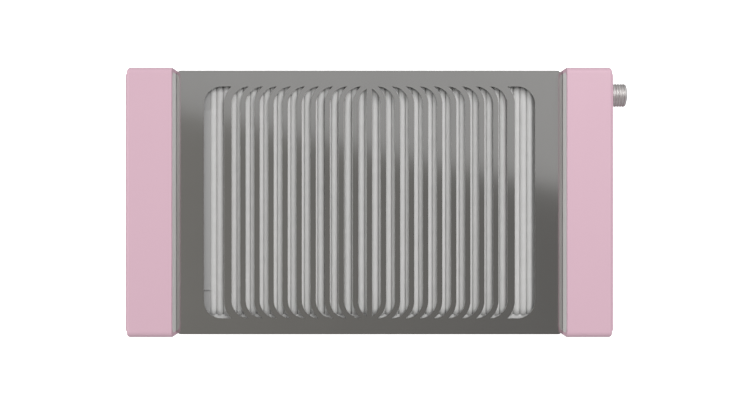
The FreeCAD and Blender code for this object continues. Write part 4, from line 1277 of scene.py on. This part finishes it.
# a slot's ends bend on one radius; the bars between are evenly wide, the last a little wider
slot_length, slot_width, bar, bend = (size * MM for size in (159.8, 6.08, 3.6, 12.17))
end_bar, end_slot, corner, sheet_thickness = (size * MM for size in (5.1, 14.0, 3.0, 1.5))
slot_pitch, slots_each_side = slot_width + bar, 10


def slot_outline(left, right, far_bend, end_run=False):
    """The outline of one slot: straight sides, both ends bent in towards the middle.

    The left side bends on the common radius, the right side on far_bend or, in the middle slot,
    not at all. An end run is the wide last slot, whose ends run level between the two bends.
    """
    centre, level = left + bend, slot_length / 2 - bend
    if far_bend is None:
        tip = right
    elif end_run:
        tip = right + far_bend - sqrt(far_bend**2 - bend**2)
    else:
        gap = right + far_bend - centre
        tip = centre + (bend**2 - far_bend**2 + gap**2) / (2 * gap)
    reach = bend if end_run else sqrt(bend**2 - (tip - centre) ** 2)
    steps = 14
    first = 90 if end_run else degrees(atan2(reach, tip - centre))
    upper = [(tip, level + reach)] if end_run else []
    for step in range(steps + 1):
        turn = radians(first + (180 - first) * step / steps)
        upper.append((centre + bend * cos(turn), level + bend * sin(turn)))
    points = upper + [(x, -y) for x, y in upper[::-1]]
    if far_bend is None:
        return points
    hub = right + far_bend
    start = degrees(atan2(reach, tip - hub))
    lower = []
    for step in range(1, steps + 1):
        turn = radians(start + (180 - start) * step / steps)
        lower.append((hub + far_bend * cos(turn), -level - far_bend * sin(turn)))
    return points + lower + [(x, -y) for x, y in lower[::-1]]


def outline_curve(name, points):
    """A closed curve of straight runs through points at z = 0, for a tree to read."""
    curve = bpy.data.curves.new(name, "CURVE")
    curve.dimensions = "3D"
    spline = curve.splines.new("POLY")
    spline.points.add(len(points) - 1)
    for point, (x, y) in zip(spline.points, points):
        point.co = (x, y, 0, 1)
    spline.use_cyclic_u = True
    return bpy.data.objects.new(name, curve)


cover_tree, inputs = node_group(
    "slotted_sheet",
    {"Pitch": 0.00968, "Slots in row": 9, "Thickness": 0.0015},
    ["Outline", "Middle slot", "Row slot", "End slot"],
)
shapes = {
    label: add_node(
        cover_tree, "GeometryNodeObjectInfo", None, {"Object": inputs.outputs[label]}
    )
    for label in ("Outline", "Middle slot", "Row slot", "End slot")
}
backwards = add_node(
    cover_tree, "ShaderNodeMath", {"operation": "MULTIPLY", 1: -1.0}, {0: inputs.outputs["Pitch"]}
)
step_left = add_node(cover_tree, "ShaderNodeCombineXYZ", None, {"X": backwards.outputs[0]})
row = add_node(
    cover_tree,
    "GeometryNodeMeshLine",
    None,
    {"Count": inputs.outputs["Slots in row"], "Offset": step_left.outputs[0]},
)
row_slots = add_node(
    cover_tree,
    "GeometryNodeInstanceOnPoints",
    None,
    {"Points": row.outputs["Mesh"], "Instance": shapes["Row slot"].outputs["Geometry"]},
)
one_side = add_node(
    cover_tree,
    "GeometryNodeJoinGeometry",
    None,
    {
        "Geometry": [
            row_slots.outputs["Instances"],
            shapes["Middle slot"].outputs["Geometry"],
            shapes["End slot"].outputs["Geometry"],
        ]
    },
)
one_side_real = add_node(
    cover_tree,
    "GeometryNodeRealizeInstances",
    None,
    {"Geometry": one_side.outputs["Geometry"]},
)
other_side = add_node(
    cover_tree,
    "GeometryNodeTransform",
    {"Scale": (-1, 1, 1)},
    {"Geometry": one_side_real.outputs["Geometry"]},
)
all_outlines = add_node(
    cover_tree,
    "GeometryNodeJoinGeometry",
    None,
    {
        "Geometry": [
            one_side_real.outputs["Geometry"],
            other_side.outputs["Geometry"],
            shapes["Outline"].outputs["Geometry"],
        ]
    },
)
blank = add_node(
    cover_tree, "GeometryNodeFillCurve", None, {"Curve": all_outlines.outputs["Geometry"]}
)
raised = add_node(
    cover_tree,
    "GeometryNodeExtrudeMesh",
    {"Individual": False},
    {"Mesh": blank.outputs["Mesh"], "Offset Scale": inputs.outputs["Thickness"]},
)
underside = add_node(
    cover_tree, "GeometryNodeFlipFaces", None, {"Mesh": blank.outputs["Mesh"]}
)
both = add_node(
    cover_tree,
    "GeometryNodeJoinGeometry",
    None,
    {"Geometry": [raised.outputs["Mesh"], underside.outputs["Mesh"]]},
)
welded = add_node(
    cover_tree,
    "GeometryNodeMergeByDistance",
    {"Distance": 1e-6},
    {"Geometry": both.outputs["Geometry"]},
)
end_group(cover_tree, inputs, welded.outputs["Geometry"])

low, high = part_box("grille_cover")
innermost = -bar / 2 - slot_width
second = innermost - slot_pitch
end_right = innermost - slot_pitch * (slots_each_side - 1) - end_bar
sheet_ring = outline_ring(low.x, low.y, high.x, high.y, corner, 0, steps=8)
sheet_outline = [point[:2] for point in sheet_ring]
middle_slot = slot_outline(innermost, innermost + slot_width, None)
row_slot = slot_outline(second, second + slot_width, bend + bar)
end_slot_outline = slot_outline(end_right - end_slot, end_right, bend + end_bar, True)
patterns = {
    "Outline": outline_curve("sheet_outline", sheet_outline),
    "Middle slot": outline_curve("middle_slot", middle_slot),
    "Row slot": outline_curve("row_slot", row_slot),
    "End slot": outline_curve("end_slot", end_slot_outline),
}
mesh = grow(
    cover_tree,
    bpy.data.meshes.new("cover"),
    {
        "Pitch": slot_pitch,
        "Slots in row": slots_each_side - 1,
        "Thickness": sheet_thickness,
        "Material": polished_stainless,
        **patterns,
    },
)
for outline in patterns.values():
    bpy.data.objects.remove(outline)
mesh.transform(Matrix.Translation((0, 0, high.z - sheet_thickness)))

# the lips: each a strip under one long edge, folded so tightly that its back stays crisp
lip_reach, lip_overlap = high.x - 5 * MM, 0.3 * MM
lip_top = high.z - sheet_thickness + lip_overlap
lips = []
for name, edge_y, inner_y in (
    ("front_lip", low.y, low.y + sheet_thickness),
    ("rear_lip", high.y, high.y - sheet_thickness),
):
    section = [(edge_y, low.z), (inner_y, low.z), (inner_y, lip_top), (edge_y, lip_top)]
    ends = [[(x, y, z) for y, z in section] for x in (-lip_reach, lip_reach)]
    lips.append(helper(name, lofted(ends)))
mesh = joined_or_cut(bpy.data.objects.new("sheet_form", mesh), lips, "UNION")
place(
    "slotted_steel_cover",
    mesh,
    polished_stainless,
    "cover",
    ["grille_cover"],
    edge=0.12 * MM,
)

# ---------------------------------------------------------------- desk, light and camera
# A white desk top, an even grey studio overhead, a bright panel behind it that the polished
# cover mirrors, and three soft lamps: to the rear and right, low on the left, and overhead where
# a screen would keep it out of the cover's mirror.


def level_sheet(name, corners, height, material):
    """A flat face of the studio through four corners (x, y) at one height."""
    mesh = bpy.data.meshes.new(name)
    mesh.from_pydata([(x, y, height) for x, y in corners], [], [(0, 1, 2, 3)])
    mesh.materials.append(material)
    sheet = bpy.data.objects.new(name, mesh)
    into_scene(sheet)
    return sheet


# the desk shines white by itself, and neither lights the machine nor shows in its steel
desk_top, tree, shader = new_material(
    "desk_white_laminate",
    **{
        "Base Color": linear("#f4f4f4"),
        "Roughness": 0.9,
        "Specular IOR Level": 0.1,
        "Emission Color": linear("#ffffff"),
        "Emission Strength": 0.97,
    },
)
reach = 12.0
desk_corners = ((-reach, -reach), (reach, -reach), (reach, reach), (-reach, reach))
desk = level_sheet("desk", desk_corners, 0, desk_top)
desk.visible_diffuse = False
desk.visible_glossy = False

# the studio's walls: grey overhead, a little lighter on the left, paler towards the horizon
world = bpy.data.worlds.new("studio")
bpy.context.scene.world = world
world.use_nodes = True
tree = world.node_tree
tree.nodes.clear()
direction = add_node(tree, "ShaderNodeTexCoord")
heading = add_node(
    tree, "ShaderNodeSeparateXYZ", None, {"Vector": direction.outputs["Generated"]}
)
from_left = add_node(
    tree,
    "ShaderNodeMapRange",
    {"From Min": -0.2, "From Max": 0.2, "To Min": 0.0, "To Max": 1.0},
    {"Value": heading.outputs["X"]},
)
overhead = add_node(
    tree,
    "ShaderNodeMix",
    {"data_type": "RGBA", 6: (0.262, 0.256, 0.243, 1), 7: (0.175, 0.172, 0.168, 1)},
    {0: from_left.outputs["Result"]},
)
up = add_node(
    tree,
    "ShaderNodeMapRange",
    {"From Min": 0.25, "From Max": 0.9},
    {"Value": heading.outputs["Z"]},
)
above = add_node(
    tree,
    "ShaderNodeMix",
    {"data_type": "RGBA", 6: (0.55, 0.55, 0.56, 1)},
    {0: up.outputs["Result"], 7: overhead.outputs[2]},
)
down = add_node(
    tree,
    "ShaderNodeMapRange",
    {"From Min": 0.1, "From Max": -0.3},
    {"Value": heading.outputs["Z"]},
)
around = add_node(
    tree,
    "ShaderNodeMix",
    {"data_type": "RGBA", 7: (0.3, 0.3, 0.3, 1)},
    {0: down.outputs["Result"], 6: above.outputs[2]},
)
air = add_node(tree, "ShaderNodeBackground", {"Strength": 1.0}, {"Color": around.outputs[2]})
add_node(tree, "ShaderNodeOutputWorld", None, {"Surface": air.outputs["Background"]})

# the light panel: its near edge runs at a slope over the machine, as the steel mirrors it
panel_light, tree, shader = new_material(
    "light_panel",
    **{
        "Base Color": (0, 0, 0, 1),
        "Specular IOR Level": 0.0,
        "Emission Color": (1.0, 1.0, 1.0, 1),
        "Emission Strength": 0.47,
    },
)
ceiling, near_edge, slope, span = 1.5, 0.108, -0.202, 1.6
near_corners = ((-span, near_edge - slope * span), (span, near_edge + slope * span))
panel_corners = near_corners + ((span, span), (-span, span))
panel = level_sheet("light_panel", panel_corners, ceiling, panel_light)
panel.visible_camera = False

for name, place_of_lamp, energy, mirrored in (
    ("rear_lamp", (0.5, 0.6, 1.2), 4.8, True),
    ("left_lamp", (-1.1, 0.1, 0.4), 3.4, True),
    ("top_lamp", (0.2, 0.15, 1.45), 4.2, False),
):
    lamp_data = bpy.data.lights.new(name, "AREA")
    lamp_data.shape = "RECTANGLE"
    lamp_data.size, lamp_data.size_y = 0.6, 0.5
    lamp_data.energy = energy
    lamp = bpy.data.objects.new(name, lamp_data)
    lamp.location = place_of_lamp
    lamp.visible_glossy = mirrored
    aim = Vector((0, 0, 0.05)) - lamp.location
    lamp.rotation_euler = aim.to_track_quat("-Z", "Y").to_euler()
    into_scene(lamp)

camera_data = bpy.data.cameras.new("camera")
camera_data.lens = 50
camera_data.shift_x, camera_data.shift_y = 0.0074, 0.0032
camera = bpy.data.objects.new("camera", camera_data)
camera.location = (0, 0, 0.791)
into_scene(camera)
bpy.context.scene.camera = camera
bpy.context.scene.view_settings.view_transform = "Standard"
